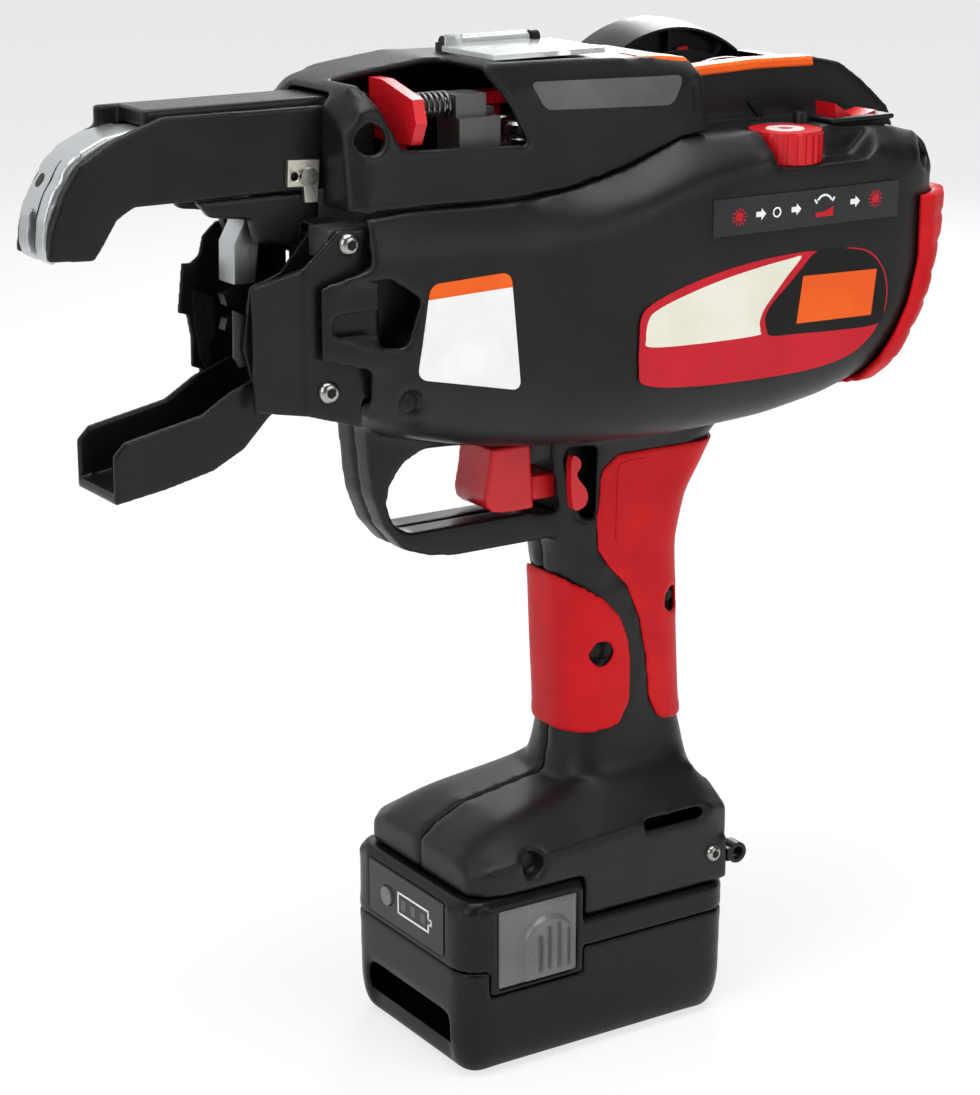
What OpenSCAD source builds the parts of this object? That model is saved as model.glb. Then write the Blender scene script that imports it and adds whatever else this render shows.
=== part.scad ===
// Rebar tying tool: a battery tool that feeds wire round crossed bars, twists it and cuts it.
// The front (jaws) points to -X, the left side to -Y, and the battery base stands on Z = 0.
// Heights of the tool itself are floor heights with a pack of the standard height under it.

/* [Battery pack] */
// Length of the pack, front to back
battery_l = 110; // [106:1:116]
// Width of the pack
battery_w = 76; // [76:1:80]
// Height of the pack
battery_h = 63; // [62:1:68]
// Height of the seam between the case halves
battery_seam = 38.5; // [38:0.5:42]
// Wall of the pack's case
battery_wall = 2.4; // [1.8:0.1:2.6]
// Diameter of one cell
cell_d = 18.4; // [17:0.1:18.5]
// Length of one cell
cell_l = 65; // [60:0.5:65]
// Half width of the slide rail on top of the pack
rail_half_w = 28; // [26:0.5:29]
// Height of the rail above the shoulder of the pack
rail_h = 15; // [14:0.5:16]

/* [Housing] */
// Wall of the body, handle and foot
wall = 2.6; // [2:0.1:3]
// Wall of the upper cover
cover_wall = 2.4; // [2:0.1:2.8]
// Half width of the trigger guard
guard_half_w = 10; // [8:0.5:14]
// Thickness of the soft grip pads
pad_t = 1.4; // [1:0.1:1.6]
// Thickness of the rear bumper
bumper_t = 2.2; // [1.6:0.1:2.6]

/* [Arm and mouth] */
// Half width of the upper arm
arm_half_w = 12; // [11.5:0.1:12.2]
// Thickness of the arm's side covers
arm_cover_t = 3; // [2:0.1:3.4]
// Half width of the lower curl guide
guide_half_w = 13.5; // [12.5:0.1:13.6]
// Sheet thickness of the lower curl guide
guide_t = 2; // [1.5:0.1:2.5]
// Thickness of the contact plates
contact_t = 1.4; // [1:0.1:1.6]
// Sheet thickness of the front plates
plate_t = 2; // [1.5:0.1:2.2]
// Radius of the pivot pins in the mouth
pin_r = 3; // [2.5:0.1:3.4]

/* [Twister] */
// Gear module
gear_m = 1; // [1:0.05:1]
// Teeth of the motor pinion
pinion_n = 16; // [16:4:16]
// Teeth of the twister gear
twist_n = 44; // [40:4:44]
// Radius of the twister shaft
twist_shaft_r = 5; // [4:0.1:6]
// Radius of the twister motor
twist_motor_r = 17; // [15:0.5:17]
// Radius of the hook head
hook_r = 9; // [7:0.5:10]

/* [Wire feed] */
// Teeth of each feed gear
feed_n = 18; // [18:4:18]
// Radius of the feed motor
feed_motor_r = 13; // [11:0.5:13]
// Wire radius of the release spring
spring_wire_r = 0.6; // [0.5:0.05:0.7]
// Radius of the release spring, to the middle of its wire
spring_r = 3.6; // [3:0.1:4]
// Curls of the release spring
spring_turns = 6; // [5:1:7]

/* [Reel] */
// Radius of the reel cap
reel_cap_r = 47.5; // [46:0.5:48]
// Gap between the reel's flanges and the cap's rim
reel_rim_gap = 9.5; // [8:0.5:13]
// Radius of the reel spindle
spindle_r = 8; // [6:0.5:10]

/* [Controls] */
// Radius of the dial
dial_r = 12; // [10:0.5:12.5]
// Half width of the trigger
trigger_half_w = 10; // [8:0.5:11]
// Pull of the trigger
trigger_travel = 6; // [4:0.5:6]
// Stroke of the battery's side latches
latch_travel = 2; // [1.5:0.1:2.2]
// Radius of the hole in the strap eye
strap_hole_r = 2.2; // [2:0.1:3.5]

/* [Fits] */
// Clearance between fixed pieces
fit = 0.3; // [0.2:0.05:0.4]
// Radial clearance of shafts and pins
run = 0.06; // [0.03:0.01:0.1]

/* [Hidden] */

$fn = 48;
eps = 0.012;
far = 400;

black = [0.10, 0.10, 0.11];
red = [0.80, 0.10, 0.13];
steel = [0.72, 0.73, 0.75];
dark_steel = [0.16, 0.16, 0.17];
cast = [0.35, 0.35, 0.36];
clear = [0.90, 0.92, 0.92, 0.4];
grey = [0.50, 0.51, 0.53];

// Heights that the tool is drawn with, on a pack of this height
pack_datum = 63;

// Main axes of the mechanism
twist_z = 263;
gear_gap = 0.1;
motor_z = twist_z - gear_m * (pinion_n + twist_n) / 2 - gear_gap;
feed_x = -14;
feed_y = gear_m * feed_n / 2 + gear_gap / 2;
deck_z0 = 290;
deck_z = 294;
lever_x = -52;
lever_y = 8;
reel_x = 74;
reel_z = 290;
reel_hole_r = reel_cap_r + 0.4;
reel_r = reel_cap_r - reel_rim_gap;
reel_wall_y = -3.4;
contact_x = -91;
contact_z = 285.5;
guide_x = -98.8;
guide_z = 241;
dial_x = 72;
dial_y = -34;
lock_x = 2.5;
lock_z = 201.5;
strap_x = 58.6;
strap_y = -33.4;
strap_z = 57;
strap_rim = 1.6;
arm_bottom = 299.6;
plate_y = 28;

// Section of a moulded body at one station: bottom, shoulder and crease heights, half widths
body_st = [
    // x, bottom, shoulder, crease, side half width, crease half width
    [-86, 229, 282.5, 293.5, 35.5, 31],
    [-70, 220.5, 283, 294.5, 38, 32],
    [-45, 214.5, 283, 294, 39, 33],
    [-25, 211.5, 281, 294, 40.5, 34],
    [-10, 210.5, 284, 296, 44, 34.5],
    [10, 210, 290.5, 301, 47, 35],
    [30, 209.5, 296, 308.5, 47.5, 35.5],
    [45, 210, 299, 309, 47.5, 37],
    [65, 211, 301.5, 309, 47.5, 39],
    [90, 215, 301.5, 308.5, 47.5, 39],
    [112, 222, 300, 307, 47, 38.5],
    [125, 236, 297, 304.5, 43, 36.5],
    [134, 252, 292, 300, 37, 32],
    [138.5, 264, 287, 295, 29, 25]];

cover_st = [
    // x, base, base half width, side top, half width there, roof, roof half width
    [-90, 294.5, 29, 318, 25, 325, 17],
    [-85, 294.2, 32, 324, 28, 331, 20],
    [-70, 294.9, 33, 326, 29.5, 333.5, 23],
    [-47, 294.6, 33.5, 327, 30, 336, 24],
    [-38, 294.4, 33.7, 327, 30, 335.5, 25],
    [-12, 296.2, 34, 327, 30.5, 335, 25],
    [8, 301.3, 34.5, 327, 31, 334.5, 25],
    [30, 308.8, 34.5, 327, 31, 333.5, 24],
    [41, 309.6, 34, 327, 30.5, 332, 22]];

handle_st = [
    // z, middle, half depth, half width, corner radius
    [84, 27, 28, 22, 15],
    [92, 27.3, 26.8, 20, 15],
    [100, 27.4, 25.6, 18.4, 14.5],
    [112, 26.6, 25, 18, 14],
    [135, 25.3, 25, 18, 14],
    [168, 24, 25, 18, 14],
    [184, 24.6, 28, 18.3, 14],
    [196, 27.5, 32.5, 18.6, 14],
    [214, 30, 38, 20, 14]];

foot_st = [
    // x, side half width, side height, top height, top half width
    [-50, 30, 71, 74, 23],
    [-44, 35.5, 72, 79, 23],
    [-33, 37, 73.5, 84, 21],
    [-6, 36.9, 75, 88.2, 19],
    [28.5, 37, 77.2, 92.8, 19.3],
    [47, 36.5, 76.5, 90, 20],
    [56, 33, 74, 80, 23]];

// Helpers: prisms, bars and lofts
module on_pack() translate([0, 0, battery_h - pack_datum]) children();
module box(a, b) translate(a) cube(b - a);
module both_sides() {
    children();
    mirror([0, 1, 0]) children();
}
module side_prism(pts, y0, y1) translate([0, y1, 0]) rotate([90, 0, 0]) linear_extrude(height = y1 - y0)
    polygon(pts);
module cross_prism(pts, x0, x1) translate([x0, 0, 0]) rotate([90, 0, 90])
    linear_extrude(height = x1 - x0) polygon(pts);
module bar_x(x0, x1, y, z, r) translate([x0, y, z]) rotate([0, 90, 0]) cylinder(r = r, h = x1 - x0);
module bar_y(x, y0, y1, z, r) translate([x, y1, z]) rotate([90, 0, 0]) cylinder(r = r, h = y1 - y0);
module hex_y(x, y0, y1, z, r) translate([x, y1, z]) rotate([90, 0, 0])
    cylinder(r = r, h = y1 - y0, $fn = 6);
module bar_z(x, y, z0, z1, r) translate([x, y, z0]) cylinder(r = r, h = z1 - z0);

function mirrored(half) = concat(half, [for (i = [len(half) - 1:-1:0]) [-half[i][0], half[i][1]]]);
function body_half(s, t) = let (b = s[1] + t, y = s[4] - t, c = s[5] - t, top = s[3] - t) [
    [y * 0.5, b], [y * 0.76, b + 2.5], [y * 0.91, b + 9], [y, b + 20], [y, s[2] - 2],
        [y - 1, s[2] + 1 - t / 3],
    [c + 0.8, top - 1.2], [c - 1, top]];
function cover_half(s, t, drop) = [[s[2] - t, s[1] - drop], [s[4] - t, s[3] - t / 2],
    [s[6] - t / 2, s[5] - t]];
function foot_half(s, t, base) = [[s[1] - t, base], [s[1] - t, s[2] - t / 2], [s[4], s[3] - t]];

module loft_x(x, sections) for (i = [0:len(x) - 2]) hull() {
    cross_prism(sections[i], x[i], x[i] + eps);
    cross_prism(sections[i + 1], x[i + 1] - eps, x[i + 1]);
}
module rounded_slab(xc, a, b, r, z) translate([xc, 0, z]) linear_extrude(height = eps) hull()
    for (sx = [-1, 1], sy = [-1, 1]) translate([sx * (a - r), sy * (b - r)]) circle(r = r, $fn = 32);
module loft_z(st, t) for (i = [0:len(st) - 2]) hull() for (k = [0, 1]) let (s = st[i + k])
    rounded_slab(s[1], s[2] - t, s[3] - t, s[4] - t, s[0] - k * eps);

module body_loft(t) loft_x(
    [for (i = [0:len(body_st) - 1]) body_st[i][0] - (i == 0 && t > 0 ? 1 : i == len(body_st)
        - 1 ? t : 0)],
    [for (s = body_st) mirrored(body_half(s, t))]);
module cover_loft(t, drop, x0, x1) loft_x(
    [for (i = [0:len(cover_st) - 1]) i == 0 ? x0 : i == len(cover_st) - 1 ? x1 : cover_st[i][0]],
    [for (s = cover_st) mirrored(cover_half(s, t, drop))]);
module foot_loft(t, base) loft_x([for (s = foot_st) s[0] + (s[0] < 0 ? t : -t)],
    [for (s = foot_st) mirrored(foot_half(s, t, base))]);

// Involute gear outline with a tooth on the +X axis, thinned for backlash
function inv_deg(a) = tan(a) * 180 / PI - a;
function gear_points(n, m) = let (
    rp = n * m / 2, rb = rp * cos(20), ra = rp + 0.9 * m, rf = rp - 1.25 * m, r0 = max(rb, rf),
    half = 90 / n - 0.08 / rp * 180 / PI + inv_deg(20),
    side = [for (k = [0:3]) let (r = r0 + (ra - r0) * k / 3) [r, half - inv_deg(acos(min(1, rb / r)))]],
    tooth = concat([[rf, -side[0][1]]], [for (p = side) [p[0], -p[1]]],
        [for (k = [3:-1:0]) side[k]], [[rf, side[0][1]]]))
    [for (i = [0:n - 1], p = tooth) p[0] * [cos(p[1] + 360 * i / n), sin(p[1] + 360 * i / n)]];

// Coil spring along X: one tube with a straight lead at each end
rings_per_curl = 8;
tube_sides = 6;
function coil_path(x0, x1, r, turns, wire) = let (lead = 2 * wire, n = turns * rings_per_curl) concat(
    [[x0, r, 0]],
    [for (i = [0:n]) let (a = 360 * i / rings_per_curl)
        [x0 + lead + (x1 - x0 - 2 * lead) * i / n, r * cos(a), r * sin(a)]],
    [[x1, r, 0]]);
function unit(v) = v / norm(v);
function tangent(p, i) = i == 0 || i == len(p) - 1 ? [1, 0, 0]
    : unit(unit(p[i] - p[i - 1]) + unit(p[i + 1] - p[i]));
function least_gap(p, wire) = min([for (i = [0:len(p) - 1], j = [i + 5:1:len(p) - 1]) norm(p[i] - p[j])])
    - 2 * wire;
module coil_spring(x0, x1, y, z, r, turns, wire) {
    path = coil_path(x0, x1, r, turns, wire);
    count = len(path);
    points = [for (i = [0:count - 1]) let (
            t = tangent(path, i), radial = unit([0, path[i][1], path[i][2]]),
            u = unit(radial - t * (radial * t)), v = cross(t, u))
        for (k = [0:tube_sides - 1]) let (a = 360 * k / tube_sides)
            path[i] + wire * (cos(a) * u + sin(a) * v)];
    wall_faces = [for (i = [0:count - 2], k = [0:tube_sides - 1]) let (
            a = i * tube_sides + k, b = i * tube_sides + (k + 1) % tube_sides)
        each [[a, b + tube_sides, b], [a, a + tube_sides, b + tube_sides]]];
    last = (count - 1) * tube_sides;
    end_faces = [for (k = [1:tube_sides - 2]) each
        [[0, k, k + 1], [last, last + k + 1, last + k]]];
    echo(spring_least_gap = least_gap(path, wire));
    translate([0, y, z]) polyhedron(points, concat(wall_faces, end_faces));
}

// Battery pack
bat_x = battery_l / 2;
bat_y = battery_w / 2;
corner_r = 9.5;
rail_z = battery_h - rail_h;
lip_z = rail_z + 6;
lip_half_w = rail_half_w - 4;
block_x = -8;
latch_x0 = -42;
latch_x1 = -11;
latch_z0 = battery_h - 31.5;
latch_z1 = battery_h - 4;
skirt_z = latch_z0 - 2.2;
skirt_y = bat_y - 5.2;
cell_step = cell_d + 0.15;
gauge_y = 11.7;
gauge_z = battery_h - 12.7;
gauge_half_w = 24;
gauge_button_r = 3.4;
gauge_z0 = battery_h - 22;
gauge_z1 = battery_h - 3;
blade_y = 12;
blade_x0 = 12;
blade_x1 = 36;

module pack_slab(inset, z) rounded_slab(0, bat_x - inset, bat_y - inset, corner_r - inset, z);
module pack_outer(z1) hull() {
    pack_slab(5, 0);
    pack_slab(1.5, 3.5);
    pack_slab(0, 12);
    pack_slab(0, z1 - eps);
}
module pack_inner(z0, z1) hull() {
    pack_slab(battery_wall + 3, z0);
    pack_slab(battery_wall, z0 + 9);
    pack_slab(battery_wall, z1);
}
module skirt(grow) both_sides()
    box([latch_x0 - 3 - grow, skirt_y - grow, skirt_z - grow],
        [block_x + grow, bat_y + 1, battery_seam + 1]);

module battery_base() color(black) difference() {
    pack_outer(battery_seam);
    pack_inner(battery_wall, battery_seam + 1);
    skirt(fit);
    side_prism([[-bat_x - 1, -1], [-bat_x + 3.2, -1], [-bat_x + 2.2, 19], [-bat_x - 1, 23]], -26, 26);
}

module rail_block(gap) {
    box([block_x - 1, -lip_half_w + gap, rail_z - 1], [bat_x, lip_half_w - gap, battery_h - 1]);
    box([block_x - 1, -rail_half_w + gap, lip_z + gap], [bat_x, rail_half_w - gap, battery_h]);
}
module battery_top() color(black) difference() {
    union() {
        intersection() {
            union() {
                hull() {
                    pack_slab(0, battery_seam + 0.1);
                    pack_slab(0, rail_z - 1);
                    pack_slab(1, rail_z - eps);
                }
                intersection() {
                    hull() {
                        pack_slab(0, battery_seam + 0.1);
                        pack_slab(0, battery_h - 3);
                        pack_slab(2.5, battery_h - eps);
                    }
                    box([-far, -far, 0], [block_x, far, far]);
                }
                rail_block(0.4);
            }
            box([-bat_x, -bat_y, battery_seam + 0.1], [bat_x, bat_y, battery_h]);
        }
        intersection() {
            skirt(0);
            pack_outer(battery_seam + 1.5);
        }
    }
    difference() {
        union() {
            hull() {
                pack_slab(battery_wall, battery_seam - 1);
                pack_slab(battery_wall, rail_z - battery_wall);
            }
            box([-bat_x + battery_wall + 3, -bat_y + 5.5, battery_seam],
                [block_x - battery_wall, bat_y - 5.5, battery_h - battery_wall]);
            box([block_x - battery_wall - 1, -lip_half_w + battery_wall + 0.4, battery_seam],
                [bat_x - battery_wall - 0.6, lip_half_w - battery_wall - 0.4, battery_h - battery_wall]);
        }
        both_sides() box([latch_guide_x0 - 3, 16, latch_guide_z0 - 3],
            [latch_guide_x1 + 3, 29, battery_h]);
    }
    both_sides() {
        box([latch_x0 - fit, skirt_y - 1, latch_z0 - fit], [latch_x1 + fit, far, latch_z1 + fit]);
        box([latch_guide_x0 - fit, latch_stem_y - latch_travel - fit, latch_guide_z0 - fit],
            [latch_guide_x1 + fit, skirt_y, latch_guide_z1 + fit]);
        box([blade_x0 - 4, blade_y - 1.8, battery_h - 8], [bat_x + 1, blade_y + 1.8, battery_h + 1]);
    }
    box([-bat_x - 1, -gauge_half_w - fit, gauge_z0 - fit],
        [-bat_x + 1.2, gauge_half_w + fit, gauge_z1 + fit]);
    bar_x(-bat_x - 1, -bat_x + 9, gauge_y, gauge_z, gauge_button_r + fit);
}

module battery_cells() color([0.2, 0.45, 0.35]) for (i = [-1.5:1:1.5], k = [0, 1])
    bar_y(i * cell_step, -cell_l / 2, cell_l / 2, battery_wall + 0.2 + cell_d / 2 + k * cell_step,
        cell_d / 2);

latch_guide_x0 = -31;
latch_guide_x1 = -22;
latch_guide_z0 = battery_h - 17;
latch_guide_z1 = battery_h - 9;
latch_stem_y = 22;

module latch_key() {
    box([latch_x0, skirt_y + 3.4, latch_z0], [latch_x1, bat_y + 0.2, latch_z1]);
    box([latch_guide_x0, latch_stem_y, latch_guide_z0], [latch_guide_x1, skirt_y + 3.5, latch_guide_z1]);
}
module battery_latch_left() color(grey) mirror([0, 1, 0]) latch_key();
module battery_latch_right() color(grey) latch_key();
module gauge_panel() color(dark_steel) difference() {
    box([-bat_x - 0.2, -gauge_half_w, gauge_z0], [-bat_x + 1.1, gauge_half_w, gauge_z1]);
    bar_x(-bat_x - 1, -bat_x + 9, gauge_y, gauge_z, gauge_button_r + fit);
}
module gauge_button() color(grey) {
    bar_x(-bat_x - 1, -bat_x + 7, gauge_y, gauge_z, gauge_button_r);
}

// Moulded housing: body, nose, handle, guard and foot
foot_z = battery_h + fit;
guard_outer = [[-74, 226], [-73, 212], [-71.5, 199], [-67, 187.5], [-60, 179.5], [-50, 176], [-40, 174.6],
    [10, 174.6],
    [10, 226]];
guard_inner = [[-52, 212.2], [-60, 208.5], [-65, 202], [-66.3, 196], [-64, 189], [-58, 185],
    [-5, 184.8], [-5, 209.3],
    [-25, 210.3]];
front_pad_edge = [[-30, 175], [-12, 168], [4, 159], [14, 152.5], [20.5, 145], [24, 136], [24.8, 124],
    [24.3, 114],
    [20, 106.5], [5, 104.5], [-30, 108]];
rear_pad_edge = [[11, 198], [9.7, 180.6], [10.4, 170.4], [14.9, 163.8], [22.6, 155.7], [27.9, 143.5],
    [30.7, 130],
    [32.5, 113.8], [36.3, 106.4], [40, 104.5], [90, 102], [90, 203], [18, 203.2]];
hump_side = [[41.4, 300], [41.4, 321], [44, 325.5], [49, 327.5], [75, 328.5], [100, 328], [112, 325.5],
    [122, 319], [134, 309], [137, 300]];
label_edge = [[5, 253], [12, 260], [23, 266.5], [36, 269.8], [60, 271], [96, 270], [104, 265],
    [108, 256], [106, 246],
    [100, 236], [92, 231], [71, 228.6], [33, 229.5], [8, 232], [4, 238]];
scoop = [[-110, 268], [-92, 275], [-80, 274.5], [-70, 267.5], [-75, 253], [-110, 259]];
bumper_side = [[122, 284], [122, 262], [117, 247], [108, 231], [98, 205], [180, 205], [180, 284]];
screw_at = [[-72.6, 235.2], [127.5, 296], [-27, 71.8], [13, 133.3], [43, 147.4]];
screw_head_y = [-33, -33, -31, -13.5, -11];
screw_boss_r = 5.2;
socket_r = 2;

module nose(half_front, half_back, z0, z1) hull() {
    box([-86, -half_back, z0 - 4], [-84, half_back, z1 + 4]);
    box([-103, -half_front, z0], [-102, half_front, z1]);
}
module rails() both_sides() difference() {
    box([block_x + 2, lip_half_w + fit, battery_h - rail_h + fit], [54, 36.5, foot_z + 4]);
    box([block_x, 0, lip_z], [55, rail_half_w + fit, foot_z]);
}
module tool_outer() {
    body_loft(0);
    nose(32.6, 36.2, 251, 274);
    loft_z(handle_st, 0);
    side_prism(guard_outer, -guard_half_w, guard_half_w);
    foot_loft(0, pack_datum + fit);
    side_prism(hump_side, -14, reel_wall_y);
}
module tool_hollow() {
    body_loft(wall);
    box([-120, -31.4, 236], [-80, 31.4, 291]);
    box([-88, -29.2, 285], [36, 29.2, 330]);
    loft_z(handle_st, wall);
    foot_loft(wall, pack_datum + fit + wall);
}
module screw_bosses(y0, y1) intersection() {
    tool_outer();
    for (p = screw_at) bar_y(p[0], y0, y1, p[1], screw_boss_r);
}
module grip_recess(edge, grow) intersection() {
    difference() {
        loft_z(handle_st, -grow);
        loft_z(handle_st, pad_t);
    }
    side_prism(edge, -far, far);
}
module frame_posts() intersection() {
    tool_outer();
    both_sides() {
        bar_y(-66.7, frame_half_w + fit / 2, 45, 251, 5);
        bar_y(-62, frame_half_w + fit / 2, 45, 280, 5);
    }
}
module board_posts() intersection() {
    tool_outer();
    for (x = [46, 100], z = [241, 271]) bar_y(x, -60, board_y - 0.05, z, 3);
}
module housing_solid() {
    difference() {
        union() {
            difference() {
                tool_outer();
                tool_hollow();
            }
            frame_posts();
            board_posts();
            screw_bosses(-60, 60);
            intersection() {
                tool_outer();
                union() {
                    bar_z(dial_x, dial_y, dial_z0 - 3, 320, dial_r + 4);
                    box([dial_x - dial_r - 3, -60, dial_z0 - 3], [dial_x + 37, dial_y - 1.7, 320]);
                }
            }
        }
        side_prism(guard_inner, -30, 30);
        box([-9, -trigger_half_w - 0.4, 183.6], [4, trigger_half_w + 0.4, 209.6]);
        box([frame_x0 - fit, -trigger_frame_half_w - fit, trigger_frame_z0 - fit],
            [frame_x1 + fit, trigger_frame_half_w + fit, trigger_frame_z1 + fit]);
        both_sides() {
            side_prism(scoop, 33.6, 60);
            box([-98, 20, 259], [-80, 60, 264.5]);
        }
        for (p = screw_at) bar_y(p[0], -60, 60, p[1], 2);
        for (i = [0:len(screw_at) - 1]) bar_y(screw_at[i][0], -60, screw_head_y[i], screw_at[i][1], 4.2);
        for (i = [0:len(screw_at) - 1]) bar_y(screw_at[i][0], 16, 60, screw_at[i][1], 4.2);
        box([18, -40, 74], [44, -30, 77]);
    }
}
module housing_half(side) on_pack() {
    difference() {
        intersection() {
            housing_solid();
            box([-far, side < 0 ? -far : 0.05, -far], [far, side < 0 ? -0.05 : far, far]);
        }
        bar_y(reel_x, reel_wall_y, far, reel_z, reel_hole_r);
        grip_recess(front_pad_edge, 2);
        grip_recess(rear_pad_edge, 2);
        for (s = [-1, 1]) box([blade_x0 - 2, s * blade_y - 2, pack_datum - 1],
            [blade_x1 + 2, s * blade_y + 2, 68]);
        if (side < 0) left_cuts();
    }
}
module left_cuts() {
    bar_z(dial_x, dial_y, dial_z0, 330, dial_r + 1);
    side_prism([[dial_x - dial_r - 1.5, 330], [dial_x - dial_r - 0.7, pocket_z], [dial_x + 25, pocket_z],
        [dial_x + 34, 307], [dial_x + 34, 330]], -far, dial_y - pocket_back);
    bar_z(dial_x, dial_y, 280, 330, 3.4);
    box([rocker_x0 - fit, rocker_y0 - fit, 290], [rocker_x1 + fit, rocker_y1 + fit, 330]);
    box([lock_x - 7, -40, lock_z - 20], [lock_x + 7, -14.9, lock_z + 5]);
    bar_y(lock_x, -40, -5, lock_z, 2.8);
    box([panel_x0 - fit, -far, panel_z0 - fit], [panel_x1 + fit, -panel_y, panel_z1 + fit]);
    side_prism(label_edge, -far, -47);
}
module left_housing() color(black) {
    housing_half(-1);
    on_pack() intersection() {
        translate([0, 0, pack_datum - battery_h]) rails();
        box([-far, -far, -far], [far, 0, pack_datum + fit + 1]);
    }
}
module right_housing() color(black) {
    housing_half(1);
    on_pack() intersection() {
        translate([0, 0, pack_datum - battery_h]) rails();
        box([-far, 0, -far], [far, far, pack_datum + fit + 1]);
    }
}
module front_grip_pad() color(red) on_pack() difference() {
    intersection() {
        difference() {
            loft_z(handle_st, -0.3);
            loft_z(handle_st, pad_t - 0.1);
        }
        side_prism(front_pad_edge, -far, far);
        box([-far, -far, 100], [far, far, 173]);
    }
    for (p = screw_at) bar_y(p[0], -60, 60, p[1], 4.2);
}
module rear_grip_pad() color(red) on_pack() difference() {
    intersection() {
        difference() {
            loft_z(handle_st, -0.3);
            loft_z(handle_st, pad_t - 0.1);
        }
        side_prism(rear_pad_edge, -far, far);
    }
    body_loft(-0.2);
    for (p = screw_at) bar_y(p[0], -60, 60, p[1], 4.2);
}
module rear_bumper() color(red) on_pack() difference() {
    intersection() {
        body_loft(-bumper_t);
        side_prism(bumper_side, -far, far);
    }
    body_loft(-0.1);
    bar_y(reel_x, 0, far, reel_z, reel_hole_r);
}
module housing_screws() color(steel) on_pack()
    for (i = [0:len(screw_at) - 1]) let (p = screw_at[i], y = screw_head_y[i]) difference() {
        union() {
            bar_y(p[0], y - 3, y, p[1], 3.6);
            bar_y(p[0], y - 1, 10, p[1], 1.8);
        }
        hex_y(p[0], y - 4, y - 1.4, p[1], socket_r);
    }

// Upper cover, window and hinge
window_x0 = -36;
window_x1 = 6;
window_y0 = -25;
window_y1 = 5;
window_z = 336.2;
hinge_y = 9.5;
hinge_z = window_z + 2;
hinge_pin_r = 1.2;
opening_side = [[-84, 336], [-72, 312.4], [-27, 310.4], [-32, 321], [-40, 333], [-40, 350], [-84, 350]];

module upper_cover() color(black) on_pack() difference() {
    cover_loft(0, 0, -90, 41);
    cover_loft(cover_wall, 8, -87.6, 38.6);
    side_prism(opening_side, -60, -3);
    box([-95, -arm_half_w - 0.6, 290], [-80, arm_half_w + 0.6, 328.3]);
    box([window_x0 + 5, window_y0 + 5, 325], [window_x1 - 5, window_y1 - 3, 345]);
    bar_y(reel_x, reel_wall_y - 0.2, far, reel_z, reel_hole_r);
    bar_y(-82, -60, -20, 316, 4.6);
    bar_y(-82, 20, 60, 316, 4.6);
}
module feed_window() color(clear) on_pack() difference() {
    union() {
        box([window_x0, window_y0, window_z], [window_x1, window_y1, window_z + 1.8]);
        box([window_x0 + 7, window_y1 - 1, window_z], [window_x1 - 7, hinge_y, window_z + 1.8]);
        bar_x(window_x0 + 7, window_x1 - 7, hinge_y, hinge_z, 2.4);
        box([window_x0, window_y1 - 3, window_z], [window_x0 + 6, window_y1 - 1.4, window_z + 5.6]);
    }
    bar_x(window_x0, window_x1, hinge_y, hinge_z, hinge_pin_r + run);
}
module window_hinge() color(black) on_pack() {
    bar_x(window_x0 + 3, window_x1 - 3, hinge_y, hinge_z, hinge_pin_r);
    for (foot = [[window_x0 + 3, window_z - 0.7], [window_x1 - 6, window_z - 1.4]]) let (x = foot[0]) {
        bar_x(x, x + 3, hinge_y, hinge_z, 2.4);
        box([x, hinge_y - 2.4, foot[1]], [x + 3, hinge_y + 4, hinge_z]);
    }
}

// Frame that carries the arm, the twister, the feed and both motors
frame_half_w = 20;
frame_front = -84;
bush_r = twist_shaft_r + 3;
gear_x0 = -44;
gear_x1 = -36;
bulkhead_x0 = -34;
bulkhead_x1 = -30;
ear_y0 = 16.2;
ear_y1 = plate_y - 0.1;

module gear_frame() color(cast) on_pack() difference() {
    union() {
        box([frame_front, -frame_half_w, 243], [-48, frame_half_w, deck_z0]);
        box([bulkhead_x0, -24, 219], [bulkhead_x1, 24, deck_z0]);
        box([frame_front, -22, deck_z0], [6, 22, deck_z]);
        box([frame_front, -arm_half_w, deck_z], [arm_rear, arm_half_w, arm_bottom]);
        both_sides() {
            box([contact_x - 6, ear_y0, contact_z - 4.5], [frame_front + 4, ear_y1, deck_z0]);
            box([guide_x - 6, ear_y0, guide_z - 2.8 - 1.2], [frame_front + 4, ear_y1, guide_z + 6]);
        }
    }
    bar_x(frame_front - 1, bulkhead_x1 + 1, 0, twist_z, twist_shaft_r + 0.1);
    bar_x(-80, -52, 0, twist_z, bush_r);
    bar_x(frame_front - 1, bulkhead_x1 + 1, 0, motor_z, 8.6);
    bar_y(contact_x, -40, 40, contact_z, pin_r + run);
    bar_y(guide_x, -40, 40, guide_z, pin_r + run);
    bar_z(feed_x, -feed_y, 280, 300, 4);
    bar_z(lever_x, lever_y, 280, 300, 2 + eps);
    both_sides() for (x = [-78, -72]) bar_y(x, -1, arm_half_w + 1, deck_z + 2.8, 0.8);
}

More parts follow.
